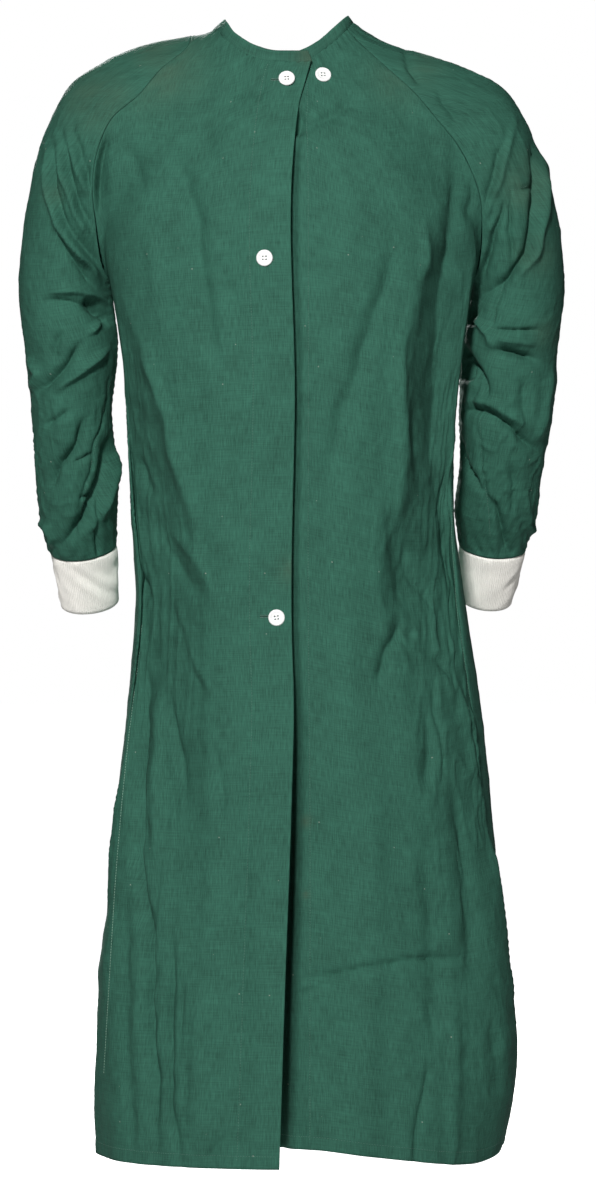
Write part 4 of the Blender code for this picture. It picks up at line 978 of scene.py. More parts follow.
# One material: the group's colour, roughness and height feed the shader, whose other values are its own.
def newMaterial(name, group, marks=(), mapped=True, linkRoughness=True, **own):
    made = bpy.data.materials.new(name)
    made.use_nodes = True
    tree = made.node_tree
    shader = tree.nodes["Principled BSDF"]
    spot = addNode(tree, "UVMap", uv_map="weave") if mapped else addNode(tree, "TexCoord")
    effect = addNode(tree, "Group")
    effect.node_tree = group
    tree.links.new(spot.outputs["UV" if mapped else "Object"], effect.inputs["Place"])
    for key, value in finishes[name].items():
        effect.inputs[key].default_value = value
    for key in marks:
        mark = addNode(tree, "Attribute", attribute_name=key.lower())
        tree.links.new(mark.outputs["Fac"], effect.inputs[key])
    tree.links.new(effect.outputs["Colour"], shader.inputs["Base Color"])
    if linkRoughness:
        tree.links.new(effect.outputs["Roughness"], shader.inputs["Roughness"])
    bump = addNode(tree, "Bump", {"Height": effect.outputs["Height"], "Strength": 1.0, "Distance": 1.0})
    tree.links.new(bump.outputs[0], shader.inputs["Normal"])
    for key, value in own.items():
        shader.inputs[key.replace("_", " ")].default_value = value
    return made


cloth = {"marks": ("Wear", "Stain"), "Specular_IOR_Level": 0.12}
fibre = {"mapped": False, "linkRoughness": False}
moulded = {"mapped": False, "Coat_Weight": 0.3, "Coat_Roughness": 0.15, "Specular_IOR_Level": 0.5}
cotton = newMaterial("greenCotton", woven, **cloth)
bandCotton = newMaterial("greenBand", woven, **cloth)
knit = newMaterial("creamKnit", knitted, Specular_IOR_Level=0.15)
thread = newMaterial("greenThread", fineFinish, **fibre, Roughness=0.6, Sheen_Weight=0.2)
# partly painted highlight: real seam stitches whose pale colour paints the highlight along the seam ridges
highlightThread = newMaterial("highlightThread", fineFinish, **fibre, Roughness=0.7)
# painted shadow: a near-black material for the strip that stands in for the shade inside each buttonhole's
# slit
paintedSlitShadow = newMaterial("paintedSlitShadow", fineFinish, **fibre, Roughness=0.9)
whiteThread = newMaterial("whiteThread", fineFinish, **fibre, Roughness=0.6, Sheen_Weight=0.2)
plastic = newMaterial("whitePlastic", fineFinish, **moulded)
print("materials made")


# Folds as seen from behind, or in front, in millimetres from the middle of the neck: path, half width before
# and after it, depth (less than 0 for a ridge) and power, 2 for a soft one and about 1 for a sharp one.
# A look's creases are the heights of the big, small and soft ones, and "shown" says how far towards the
# viewer cloth has to face to take the folds. A fine patch is its middle, half its width and height, and its
# creases' depth, size and stretch down the piece; a stain is its middle, radius and strength.
nearOpening = [  # folds that both backs share where they lap
    ([(-77, -64), (-45, -70), (-14, -74)], 8.4, 10.1, 1.2, 2),
    ([(-30, -364), (-16, -366), (0, -366)], 2.5, 1.7, 0.7, 1.4),
    ([(-67, -1099), (-51, -1097), (-30, -1090)], 2.5, 1.7, 0.8, 1.4),
]
leftBackLook = {
    "foldScale": 2.5,
    "rows": 310, "columns": 124, "seed": 3, "creases": (0.8, 0.3, 2.6), "shown": (-0.35, 0.05),
    "doubled": (("bottom", 14.0), ("first", 42.0)),
    "flanks": [(-1, "back", 1.0)],
    "fine": [((-146, -800), (46, 330), 2.4, 12.0, 7.0), ((-150, -470), (40, 130), 1.6, 10.0, 4.0),
             ((-140, -1150), (52, 90), 1.8, 12.0, 3.5), ((-95, -300), (60, 170), 0.9, 11.0, 3.0)],
    "stains": [((-150, -30), 46, 0.8), ((-228, -85), 26, 0.7), ((18, -30), 9, 1.0), ((2, -600), 16, 0.5)],
    "back": nearOpening + [
        ([(-142, -107), (-135, -130), (-119, -161), (-112, -182), (-102, -214), (-100, -248),
          (-95, -282), (-87, -349), (-70, -392)], 10.9, 9.2, 3.2, 1.8),
        ([(-100, -107), (-89, -135), (-64, -165), (-41, -189), (-32, -212)], 7.6, 6.7, 1.3, 1.8),
        ([(-70, -270), (-66, -290), (-56, -318)], 5.9, 5.9, 1.1, 1.8),
        ([(-168, -318), (-166, -345), (-151, -392), (-139, -425), (-133, -460), (-116, -511),
          (-106, -545)], 5.9, 7.6, -2.4, 1.6),
        ([(-142, -548), (-114, -576), (-94, -606), (-85, -648)], 5, 7.6, -2, 1.6),
        ([(-150, -548), (-122, -598), (-96, -640)], 5, 9, 1.8, 1.6),
        ([(-133, -628), (-112, -690), (-94, -751)], 5, 9, 1.6, 1.6),
        ([(-131, -618), (-117, -664), (-107, -700), (-90, -732), (-82, -760)], 4.2, 5.9, -1.6, 1.6),
        ([(-158, -690), (-161, -760), (-168, -824), (-170, -866), (-171, -919), (-161, -987),
          (-157, -1020), (-159, -1076), (-157, -1119), (-152, -1163), (-149, -1207),
          (-150, -1290)], 6.3, 5.9, 6, 1.7),
        ([(-134, -730), (-127, -781), (-121, -814), (-116, -870)], 5, 5, 2.8, 1.5),
        ([(-84, -780), (-75, -837), (-74, -900)], 5, 4.2, 1.4, 1.6),
        ([(-134, -985), (-130, -1053), (-134, -1097), (-132, -1141), (-134, -1163), (-132, -1195),
          (-125, -1229), (-119, -1290)], 5.9, 5, 3.6, 1.6),
        ([(-118, -1035), (-120, -1097), (-121, -1137), (-126, -1170)], 2.1, 2.5, 1.5, 1.3),
        ([(-141, -700), (-144, -760), (-146, -833), (-147, -900), (-144, -960)], 7.6, 6.7, -3, 1.8),
        ([(-194, -960), (-200, -1060), (-202, -1270)], 14, 28, -3.2, 1.9),
        ([(-183, -700), (-188, -800), (-192, -950), (-196, -1120)], 7.6, 7.6, -2.6, 1.8),
        ([(-178, -960), (-180, -1060), (-176, -1180), (-174, -1290)], 6.7, 5.9, 2.2, 1.8),
        ([(-104, -1030), (-101, -1120), (-98, -1200), (-96, -1290)], 10.1, 9.2, -2.2, 1.9),
        ([(-58, -760), (-54, -900), (-50, -1050), (-52, -1290)], 14.3, 12.6, 1.6, 2),
        ([(-93, -1258), (-80, -1238), (-60, -1222)], 4.2, 2.5, 1.4, 1.4),
        ([(-186, -560), (-170, -600), (-150, -640)], 5, 4.2, 2, 1.6),
        ([(-172, -470), (-160, -500), (-152, -520)], 5, 4.2, 2, 1.5),
        ([(-60, -430), (-66, -500), (-62, -570)], 8.4, 7.6, 1.3, 1.9),
        ([(-186, -120), (-170, -150), (-160, -190)], 6.7, 5.9, 1.5, 1.8),
        ([(-160, -215), (-150, -260), (-148, -310)], 8.4, 7.6, -1.6, 1.8),
    ],
}
hipRidge = [  # a ridge down the right hip with a groove along it
    (190, -715), (195, -760), (200, -786), (203, -814), (212, -845), (221, -877), (226, -930), (233, -985),
]
rightBackLook = {
    "foldScale": 2.5,
    "rows": 310, "columns": 130, "seed": 5, "creases": (0.85, 0.32, 2.6), "shown": (-0.35, 0.05),
    "doubled": (("bottom", 14.0), ("first", 70.0)),
    "flanks": [(1, "back", 1.0)],
    "fine": [((178, -760), (42, 250), 2.6, 10.0, 4.5), ((150, -440), (40, 170), 1.6, 10.0, 5.0),
             ((170, -1110), (70, 90), 1.7, 12.0, 2.0), ((115, -600), (60, 120), 1.3, 10.0, 2.0),
             ((70, -330), (70, 180), 0.9, 11.0, 3.0)],
    "stains": [((19, -878), 6, 0.9), ((18, -960), 3.5, 1.0), ((120, -50), 30, 0.4)],
    "back": nearOpening + [
        ([(10, -110), (40, -96), (82, -76)], 6, 6, 2.6, 1.6),
        ([(9, -84), (13, -100), (9, -118)], 7, 8, 4.4, 1.6),
        ([(112, -200), (114, -248), (104, -286), (84, -343), (68, -400), (53, -456),
          (40, -520)], 10.1, 10.9, 3.2, 1.8),
        ([(184, -150), (180, -189), (178, -224), (173, -259), (163, -294)], 6.7, 8.4, 2.6, 1.6),
        ([(140, -262), (133, -315), (124, -357), (120, -400), (120, -443), (126, -500),
          (131, -560)], 7.6, 5.9, -1.8, 1.6),
        ([(112, -520), (116, -560), (124, -610), (128, -660)], 10.1, 16.8, 3.5, 1.8),
        ([(149, -205), (150, -250), (147, -285)], 5, 5, -2.2, 1.7),
        ([(126, -340), (123, -400), (130, -470), (140, -530)], 8.4, 5, -2.2, 1.7),
        ([(205, -160), (200, -190), (197, -215)], 4.2, 4.2, 1.6, 1.6),
        ([(52, -62), (103, -53), (144, -66)], 3.4, 3.4, 1.1, 1.5),
        ([(111, -300), (109, -325), (107, -352)], 2.1, 2.1, 0.9, 1.3),
        ([(134, -420), (137, -450), (138, -478)], 2.5, 2.5, 1.4, 1.4),
        ([(130, -560), (134, -604), (150, -626), (161, -658)], 3.4, 2.5, 1.8, 1.2),
        ([(154, -632), (160, -672), (163, -704)], 2.9, 2.9, -1.3, 1.3),
        ([(178, -672), (178, -690), (173, -706)], 2.5, 2.5, -1.1, 1.3),
        ([(160, -692), (168, -707), (180, -716)], 5, 5, 2.0, 1.6),
        ([(168, -710), (173, -726), (180, -748)], 2.5, 2.5, -1.2, 1.3),
        ([(178, -708), (187, -739), (200, -790)], 2.9, 2.5, -1.3, 1.3),
        ([(163, -708), (164, -730), (166, -758)], 2.1, 2.1, -0.8, 1.3),
        ([(132, -652), (124, -668), (134, -686), (140, -668), (133, -654)], 2.1, 2.1, -1.0, 1.4),
        ([(132, -662), (132, -676)], 4.2, 4.2, 0.9, 1.8),
        ([(133, -680), (141, -692), (153, -706)], 2.5, 2.5, -0.9, 1.4),
        ([(118, -670), (125, -690), (129, -703), (127, -722)], 2.5, 2.5, -0.8, 1.4),
        ([(123, -645), (117, -675), (109, -690), (104, -707), (93, -735)], 6.7, 5.9, 3.4, 1.7),
        (hipRidge, 7.6, 7.6, -3.6, 1.8),
        (hipRidge, 2.2, 2.2, 3.4, 1.4),
        ([(158, -718), (163, -770), (168, -803), (165, -850)], 2.5, 2.5, 1.6, 1.4),
        ([(148, -725), (152, -780), (150, -860)], 6.7, 6.7, 2, 1.8),
        ([(180, -800), (188, -870), (196, -960), (206, -1080)], 8.4, 8.4, 2.8, 1.8),
        ([(-4, -1057), (32, -1052), (77, -1045), (121, -1037), (160, -1030), (190, -1033),
          (222, -1040)], 1.8, 4.2, 3.2, 1.1),
        ([(-4, -1077), (22, -1068), (43, -1060), (66, -1054)], 1.8, 3.0, 1.8, 1.2),
        ([(154, -1130), (150, -1173), (144, -1202), (141, -1240), (144, -1290)], 3.4, 3.4, 2.6, 1.4),
        ([(148, -880), (156, -980), (160, -1060), (158, -1150)], 11.8, 11.8, 2.4, 1.9),
        ([(96, -760), (92, -900), (90, -1050), (92, -1290)], 15.1, 15.1, -1.8, 2),
        ([(50, -700), (46, -850), (48, -1000), (52, -1290)], 13.4, 13.4, 1.5, 2),
        ([(212, -1080), (222, -1130), (224, -1200)], 6.7, 6.7, 1.6, 1.7),
        ([(220, -860), (226, -960), (230, -1080), (228, -1270)], 30, 15, -3.8, 1.9),
        ([(184, -1060), (180, -1140), (182, -1290)], 7.6, 7.6, -2, 1.8),
        ([(20, -1180), (24, -1230), (26, -1290)], 7.6, 7.6, -1.8, 1.8),
        ([(178, -470), (170, -540), (178, -620)], 7.6, 6.7, 2.4, 1.7),
    ],
}
frontLook = {
    "foldScale": 2.1,
    "rows": 250, "columns": 122, "seed": 9, "creases": (0.8, 0.3, 2.6), "shown": (-0.35, 0.05),
    "doubled": (("bottom", 14.0),),
    "flanks": [(-1, "front", 0.8), (1, "front", 0.8)],
    "stains": [((-60, -420), 30, 0.4), ((80, -880), 24, 0.4)],
    "front": [
        ([(-128, -150), (-118, -220), (-104, -300), (-88, -380)], 10.1, 10.1, 3, 1.8),
        ([(126, -150), (120, -230), (106, -310), (92, -400)], 10.1, 10.1, 3, 1.8),
        ([(-40, -160), (-6, -176), (36, -162)], 7.6, 7.6, 1.6, 1.8),
        ([(-30, -240), (0, -262), (34, -244)], 7.6, 7.6, 1.4, 1.8),
        ([(-150, -590), (-118, -628), (-96, -680)], 15.1, 5, 4.2, 1.3),
        ([(152, -600), (122, -640), (98, -690)], 5, 15.1, 4.2, 1.3),
        ([(12, -640), (8, -800), (4, -980), (6, -1290)], 18.5, 20.2, 5, 1.9),
        ([(-98, -640), (-110, -800), (-118, -1000), (-122, -1290)], 12.6, 15.1, 5, 1.8),
        ([(100, -620), (116, -800), (126, -1000), (132, -1290)], 15.1, 12.6, 5.4, 1.8),
        ([(-52, -700), (-56, -880), (-58, -1060), (-60, -1290)], 13.4, 13.4, -4, 1.9),
        ([(60, -690), (64, -880), (68, -1060), (72, -1290)], 13.4, 13.4, -4, 1.9),
        ([(-160, -700), (-168, -860), (-172, -1040), (-170, -1290)], 7.6, 7.6, 3.6, 1.7),
        ([(172, -720), (186, -880), (196, -1040), (200, -1290)], 7.6, 7.6, 3.4, 1.7),
        ([(-170, -1046), (-90, -1038), (0, -1044), (90, -1036), (196, -1042)], 3.4, 2.5, 1.4, 1.3),
        ([(-146, -640), (-140, -672), (-152, -704)], 3.4, 3.4, -1.8, 1.4),
        ([(150, -632), (142, -668), (156, -700)], 3.4, 3.4, -1.8, 1.4),
        ([(-20, -420), (-34, -520), (-30, -610)], 8.4, 8.4, 1.6, 1.8),
        ([(44, -430), (52, -520), (46, -620)], 8.4, 8.4, 1.5, 1.8),
    ],
}
leftSleeveLook = {
    "foldScale": 2.9,
    "rows": (104, 150), "columns": 148, "seed": 13, "creases": (1.1, 0.45, 1.6), "shown": (-0.12, 0.12),
    "gather": 3.2,
    "fine": [((-250, -480), (60, 90), 2.0, 10.0, 2.0), ((-235, -190), (40, 90), 1.8, 9.0, 4.0)],
    "stains": [((-215, -75), 34, 0.6), ((-150, -20), 26, 0.5), ((-262, -180), 14, 0.3)],
    "back": [
        ([(-271, -110), (-271, -144), (-268, -180), (-251, -229), (-226, -258),
          (-200, -282)], 3.2, 3.2, -3.2, 1.5),
        ([(-264, -112), (-264, -148), (-260, -184), (-243, -224), (-219, -252),
          (-200, -270)], 3.2, 3.2, 2.2, 1.5),
        ([(-260, -104), (-259, -132), (-247, -180), (-233, -214), (-208, -252)], 3.0, 3.0, -2.6, 1.5),
        ([(-252, -108), (-248, -142), (-238, -180), (-222, -212), (-204, -236)], 3.2, 3.2, 2.2, 1.5),
        ([(-254, -96), (-242, -139), (-223, -180), (-208, -212)], 3.0, 3.0, -2.4, 1.5),
        ([(-245, -100), (-234, -135), (-221, -166), (-212, -188)], 3.2, 3.2, 1.8, 1.5),
        ([(-262, -200), (-254, -218), (-237, -246), (-202, -288)], 3.2, 3.2, -2.2, 1.5),
        ([(-262, -216), (-246, -248), (-226, -276), (-210, -290)], 3.4, 3.4, 2.4, 1.4),
        ([(-219, -136), (-222, -165), (-214, -195)], 4.2, 4.2, 2.4, 1.7),
        ([(-276, -292), (-245, -287), (-222, -294), (-200, -303)], 3.4, 3.4, -2.4, 1.5),
        ([(-280, -302), (-248, -300), (-224, -310), (-206, -322)], 4.2, 4.2, 2.4, 1.4),
        ([(-228, -294), (-212, -314), (-196, -330)], 6.0, 6.0, 4.6, 1.5),
        ([(-226, -340), (-214, -330), (-204, -314)], 2.5, 2.5, -2.4, 1.3),
        ([(-264, -405), (-229, -377), (-196, -350)], 3.4, 4.2, -3.2, 1.4),
        ([(-284, -405), (-254, -380), (-227, -342)], 5, 5, 4, 1.5),
        ([(-292, -360), (-279, -382), (-288, -402)], 4.2, 4.2, -2.6, 1.5),
        ([(-196, -362), (-206, -414), (-218, -465), (-220, -480), (-230, -516),
          (-242, -566)], 1.8, 1.8, 1.2, 1.5),
        ([(-228, -424), (-240, -465), (-260, -487), (-266, -520)], 5, 5, 4.2, 1.5),
        ([(-246, -484), (-232, -476), (-217, -468)], 2.5, 2.5, 2.2, 1.3),
        ([(-234, -520), (-226, -519), (-214, -516)], 2.5, 2.5, 1.8, 1.3),
        ([(-198, -440), (-206, -490), (-222, -534), (-243, -562), (-262, -578)], 5.9, 4.2, 6, 1.4),
        ([(-190, -452), (-197, -500), (-212, -542), (-226, -562)], 3.4, 4.2, -2.8, 1.5),
        ([(-207, -505), (-213, -549), (-212, -590)], 2.5, 2.5, 2.4, 1.4),
        ([(-278, -542), (-262, -556), (-266, -576)], 3.4, 3.4, -3, 1.4),
        ([(-252, -330), (-262, -352), (-258, -372)], 4.2, 4.2, 2, 1.5),
        ([(-276, -440), (-262, -432), (-246, -420)], 3.4, 3.4, 2, 1.4),
    ],
    "front": [
        ([(-282, -318), (-250, -300), (-214, -306)], 5, 5, 4.5, 1.5),
        ([(-284, -350), (-252, -360), (-212, -338)], 5, 4.2, 4.5, 1.4),
        ([(-276, -394), (-246, -384), (-210, -392)], 4.2, 5, 4, 1.4),
        ([(-282, -432), (-250, -420), (-214, -436)], 4.2, 4.2, 3.4, 1.4),
        ([(-270, -500), (-244, -486), (-208, -500)], 5, 4.2, 3.4, 1.4),
        ([(-262, -120), (-252, -170), (-232, -220), (-214, -262)], 5, 5, 3, 1.6),
        ([(-238, -110), (-228, -160), (-208, -210)], 4.2, 4.2, -2.2, 1.5),
        ([(-262, -545), (-240, -556), (-218, -548)], 3.4, 3.4, 2.8, 1.4),
    ],
}
rightSleeveLook = {
    "foldScale": 2.9,
    "rows": (104, 150), "columns": 148, "seed": 17, "creases": (1.1, 0.5, 1.6), "shown": (-0.12, 0.12),
    "gather": 3.4,
    "fine": [((240, -480), (60, 90), 2.0, 10.0, 2.0), ((225, -230), (40, 90), 1.8, 9.0, 4.0)],
    "stains": [((262, -170), 30, 0.5), ((272, -250), 22, 0.4), ((286, -340), 16, 0.4), ((150, -45), 20, 0.3)],
    "back": [
        ([(124, -18), (131, -36), (146, -66)], 3.4, 3.4, 1.8, 1.5),
        ([(160, -66), (176, -84), (188, -108)], 4.2, 4.2, 1.6, 1.6),
        ([(254, -92), (241, -130), (233, -165), (215, -205), (207, -240)], 3.4, 3.4, -2.6, 1.5),
        ([(246, -110), (231, -150), (222, -182), (206, -214)], 4.2, 4.2, 2.4, 1.6),
        ([(238, -180), (256, -176), (274, -170)], 1.8, 1.8, 1.6, 1.4),
        ([(244, -176), (245, -224), (247, -266)], 2.9, 2.9, 2.4, 1.5),
        ([(242, -178), (224, -235), (208, -298)], 3.8, 4.2, 3.2, 1.5),
        ([(232, -196), (216, -244), (204, -286)], 2.9, 2.9, -2, 1.5),
        ([(266, -108), (272, -159), (272, -200), (269, -229), (258, -254), (236, -280), (210, -298),
          (194, -308)], 5, 4.2, 4.6, 1.4),
        ([(275, -120), (281, -160), (281, -204), (276, -236), (262, -264),
          (240, -290)], 4.2, 4.2, -2.4, 1.6),
        ([(194, -300), (200, -314), (204, -330)], 5, 5, 5, 1.6),
        ([(196, -314), (215, -326), (223, -337), (221, -360)], 3.4, 3.4, -2.8, 1.4),
        ([(236, -276), (230, -305), (224, -336)], 2.2, 2.2, 1.8, 1.4),
        ([(220, -331), (250, -333), (284, -333)], 2.2, 2.4, 2.4, 1.4),
        ([(218, -352), (243, -356), (282, -368)], 5, 3.8, 5.4, 1.4),
        ([(224, -343), (250, -345), (280, -351)], 2.9, 2.9, -2, 1.5),
        ([(188, -342), (198, -366), (210, -382), (220, -418)], 4.2, 4.2, 4.4, 1.4),
        ([(192, -364), (196, -376), (199, -392)], 3.8, 3.8, 5, 1.6),
        ([(207, -374), (206, -400), (203, -432)], 2.5, 2.5, 2.2, 1.4),
        ([(186, -424), (215, -425), (241, -440), (266, -460), (286, -473)], 4.2, 3.8, 4.4, 1.4),
        ([(190, -414), (216, -414), (244, -428), (270, -448)], 3.4, 3.4, -2, 1.5),
        ([(209, -420), (214, -485), (220, -522), (223, -580)], 1.8, 1.8, 1.2, 1.5),
        ([(184, -432), (198, -487), (220, -522)], 4.2, 3.4, 3, 1.4),
        ([(221, -512), (235, -553), (246, -592)], 4.2, 4.2, 3.4, 1.5),
        ([(292, -362), (284, -420), (276, -465)], 4.2, 4.2, -2.4, 1.5),
        ([(264, -508), (264, -544), (272, -568)], 3.4, 3.4, -2.4, 1.4),
        ([(262, -380), (258, -410), (262, -436)], 5.9, 5.9, 2, 1.7),
        ([(246, -480), (250, -510), (246, -540)], 5, 5, 2, 1.6),
    ],
    "front": [
        ([(284, -316), (252, -302), (214, -308)], 5, 5, 4.5, 1.5),
        ([(286, -352), (252, -362), (212, -342)], 5, 4.2, 4.5, 1.4),
        ([(280, -398), (248, -386), (210, -396)], 4.2, 5, 4, 1.4),
        ([(282, -430), (250, -424), (214, -438)], 4.2, 4.2, 3.4, 1.4),
        ([(268, -496), (240, -484), (206, -502)], 5, 4.2, 3.4, 1.4),
        ([(264, -118), (252, -172), (232, -222), (214, -264)], 5, 5, 3, 1.6),
        ([(240, -112), (228, -160), (208, -212)], 4.2, 4.2, -2.2, 1.5),
        ([(260, -545), (236, -556), (214, -548)], 3.4, 3.4, 2.8, 1.4),
    ],
}


# The reddish brown age marks: each is exp(-(distance / radius) ** 2) in the view from behind.
def stainMarks(seen, stains):
    marks = np.zeros(seen.shape[:-1])
    for centre, radius, strength in stains:
        marks = np.maximum(marks, strength * np.exp(-(((seen - np.array(centre)) / radius) ** 2).sum(-1)))
    return marks


walls = {"cloth": 0.0015, "knit": 0.0020}
surfaces = {}  # what every finished cloth piece keeps, so that stitches can be set on it


# A cloth's mesh is given its wall, half of it to each side, and its surface is kept.
def keepCloth(name, made, grid, reach, turned, wall):
    shell = made.modifiers.new("wall", "SOLIDIFY")
    shell.thickness, shell.offset = walls[wall], 0
    surfaces[name] = {"grid": grid, "normal": gridNormal(grid, turned), "reach": reach}
    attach(made, "root")
    print("cloth made:", name, len(made.data.polygons), "faces")
    return made


# A body panel: its grid on the form is made fine, draped and drawn in at its seams.
def bodyPanel(name, coarse, look, sewn, over=None):
    rows, fine, columns = cut["raglanRows"], look["rows"], look["columns"]
    upper, lower = coarse[: rows + 1], coarse[rows:]
    tall = [np.linalg.norm(np.diff(part, axis=0), axis=-1).sum(0).mean() for part in (upper, lower)]
    above = int(round(fine * tall[0] / sum(tall)))
    grid = np.concatenate((refined(upper, above, columns), refined(lower, fine - above + 1, columns)[1:]))
    shaped, wear, reach = drapedCloth(grid, look, over, sewn)
    if "first" in sewn:
        shaped[:, 0] = drawnIn(shaped[:, 0], shaped[:, 1])
    shaped[:, -1] = drawnIn(shaped[:, -1], shaped[:, -2])
    shaped[0] += unit(shaped[1] - shaped[0]) * cut["seamGap"] / 2
    face = "front" if name == "frontPanel" else "back"
    values = {"wear": wear, "stain": stainMarks(seenPlace(grid, face), look["stains"])}
    middle = reach["first"] if "first" not in sewn else reach["first"] - reach["first"][:, -1:] / 2
    uv = np.stack((middle + 0.5, reach["bottom"]), -1)
    turned = windsInwards(shaped)
    return keepCloth(name, clothMesh(name, shaped, uv, values, turned), shaped, reach, turned, "cloth")


sleeveEnd = (-4, 9)  # millimetres above the cuff over which the folds come in


# A sleeve: open rows at the raglan seams, then closed rings, as one surface.
def sleevePiece(name, side, look):
    columns = look["columns"] + 1
    upper, lower = (refined(part, rows, columns) for part, rows in zip(sleeveGrids(side), look["rows"]))
    lower[:, 0] = lower[:, -1] = (lower[:, 0] + lower[:, -1]) / 2
    armpit = len(upper) - 1
    grid = np.concatenate((upper[:-1], lower))
    grid[armpit, 0] = grid[armpit, -1] = underarms[side]
    shaped, wear, reach = drapedCloth(grid, look)
    shaped = grid + (shaped - grid) * smoothStep(reach["bottom"] * 1000, *sleeveEnd)[..., None]
    rings, split = shaped[armpit:], shaped[: armpit + 1]
    rings[:, 0] = rings[:, -1] = (rings[:, 0] + rings[:, -1]) / 2
    below = unit(shaped[armpit + 2, 0] - shaped[armpit, 0])
    split[:, 0], split[:, -1] = drawnIn(split[:, 0], split[:, 1]), drawnIn(split[:, -1], split[:, -2])
    shaped[armpit, 0] = shaped[armpit, -1] = underarms[side] + below * seamGap(underarms[side][None])
    shaped[0] += unit(shaped[1] - shaped[0]) * cut["seamGap"] / 2
    joined = np.arange(shaped.shape[0] * columns).reshape(-1, columns)
    joined[armpit:, -1] = joined[armpit:, 0]
    values = {"wear": wear, "stain": stainMarks(seenPlace(grid), look["stains"]) * (grid[..., 1] < 0.05)}
    uv = np.stack((reach["first"] - reach["first"][:, -1:] / 2 + 0.5, reach["bottom"]), -1)
    turned = windsInwards(shaped)
    made = clothMesh(name, shaped, uv, values, turned, joined)
    return keepCloth(name, made, shaped, reach, turned, "cloth")


leftSide, rightSide = bodySide(-1, "back"), bodySide(1, "back")
outerEdge = openingSide(1, 0, -cut["outerDrop"], leftSide)
innerEdge = openingSide(2, -1, cut["underRise"], rightSide)
frontSides = bodySide(-1, "front"), bodySide(1, "front")
leftTop, rightTop, frontTop = (neckPoints(name, count) for name, count in cut["columns"].items())
leftGrid = panelGrid(leftTop, outerEdge, leftSide, -2 * math.pi)
rightGrid = panelGrid(rightTop[::-1], innerEdge, rightSide, -math.pi, cut["hemWave"])
frontGrid = panelGrid(frontTop, *frontSides, -math.pi / 2)
leftBack = bodyPanel("leftBack", leftGrid, leftBackLook, ("top", "last"), True)
rightBack = bodyPanel("rightBack", rightGrid, rightBackLook, ("top", "last"), False)
frontPanel = bodyPanel("frontPanel", frontGrid, frontLook, ("top", "first", "last"))
leftSleeve = sleevePiece("leftSleeve", -1, leftSleeveLook)
rightSleeve = sleevePiece("rightSleeve", 1, rightSleeveLook)

cuffLook = {
    "ribs": 96, "perRib": 5, "ribPitch": 0.00224, "rows": 20,
    "rib": 0.00042,  # height of the rib wave
    "gather": 0.0016,  # how far the tube bends in and out
    "tuck": (0.0012, 0.05),  # how far it is drawn in under the sleeve, over this share of its length
}


# A cuff: the arm's tube with a rib wave round it, cos(ribs * angle), flatter at both ends, on soft bends.
def ribbedCuff(name, side, look):
    arm = arms[side]
    start = arm.knots[form["sleeveEnd"]] + cut["seamGap"] / 2
    columns = look["ribs"] * look["perRib"]
    s = np.linspace(0, 1, look["rows"])[:, None]
    angle = np.linspace(0, 2 * math.pi, columns + 1)[None]
    t = start + (arm.length - start) * s
    grid = arm.point(t + 0 * angle, angle + 0 * s)
    wave = 0.4 + 0.6 * np.sin(math.pi * np.clip(s * 1.06, 0, 1)) ** 0.5
    wave = look["rib"] * np.cos(look["ribs"] * angle) * wave
    bend = softNoise(4 + 3 * np.cos(angle) + 6 * s, 5 + 3 * np.sin(angle) + 0 * s, 40 + side)
    bend = look["gather"] * bend * np.sin(math.pi * s) ** 0.6
    depth, share = look["tuck"]
    turned = windsInwards(grid, arm.at(t[len(t) // 2, 0])[0])
    move = wave + bend - depth * np.exp(-((s / share) ** 2))
    shaped = grid + move[..., None] * gridNormal(grid, turned)
    shaped[:, -1] = shaped[:, 0]
    joined = np.arange(shaped.shape[0] * (columns + 1)).reshape(-1, columns + 1)
    joined[:, -1] = joined[:, 0]
    around = look["ribPitch"] * look["ribs"]
    uv = np.stack((around * angle / 2 / math.pi + 0 * s, (arm.length - t) + 0 * angle), -1)
    made = clothMesh(name, shaped, uv, {}, turned, joined)
    return keepCloth(name, made, shaped, gridReach(shaped), turned, "knit")


bandLook = {
    "rows": 9, "columns": 520, "height": 0.012, "puff": 0.0007, "wave": 0.0007,
    "lift": 0.0005,  # how far its free edge rises and falls
    "gap": -0.0024,  # its foot above the neckline, less than 0 where it is sewn below it
    "tuck": 0.0009,  # how far the foot is drawn in
    "edge": 0.16,  # share of its height that the tuck and the wear take up
    "stain": (4, 12),  # place and width along the band, in millimetres
}


# The neckband: the neckline's curve carried up to its free edge, puffed between its edges as
# sin(pi * level), with a slow wave along it.
def neckBandPiece(name, look):
    places = np.linspace(0, neckKnots[-1], look["columns"])
    seam = onForm(smoothCurve(neckKnots, neckRows[:, :3], places))
    rise = smoothCurve(neckKnots, neckRows[:, 3:] - neckRows[:, :3], places)
    outer = places < neckKnots[-1] / 2
    seam = seam + np.where(outer, lapMove(seam, True), lapMove(seam, False))[:, None] * formNormal(seam)
    level = np.linspace(0, 1, look["rows"])[:, None]
    foot = unit(rise) * look["gap"]
    grid = seam[None] + foot[None] + (rise - foot)[None] * level[..., None]
    turned = windsInwards(grid, grid[look["rows"] // 2, look["columns"] // 3] * (0, 0, 1), 3)
    run = places[None, :] * 1000
    bulge = np.sin(math.pi * level)
    move = look["puff"] * bulge + look["wave"] * softNoise(run / 17, level * 2, 51) * bulge
    move = move - look["tuck"] * np.exp(-((level / look["edge"]) ** 2))
    shaped = grid + move[..., None] * gridNormal(grid, turned)
    shaped[..., 2] += look["lift"] * softNoise(run / 21, 0 * run, 53) * level
    uv = np.stack((places[None] + 0 * level, level * look["height"] + 0 * places[None]), -1)
    place, width = look["stain"]
    wear, stain = np.exp(-(((1 - level) / look["edge"]) ** 2)), np.exp(-(((run - place) / width) ** 2))
    made = clothMesh(name, shaped, uv, {"wear": wear + 0 * run, "stain": stain + 0 * level}, turned)
    return keepCloth(name, made, shaped, gridReach(shaped), turned, "knit")


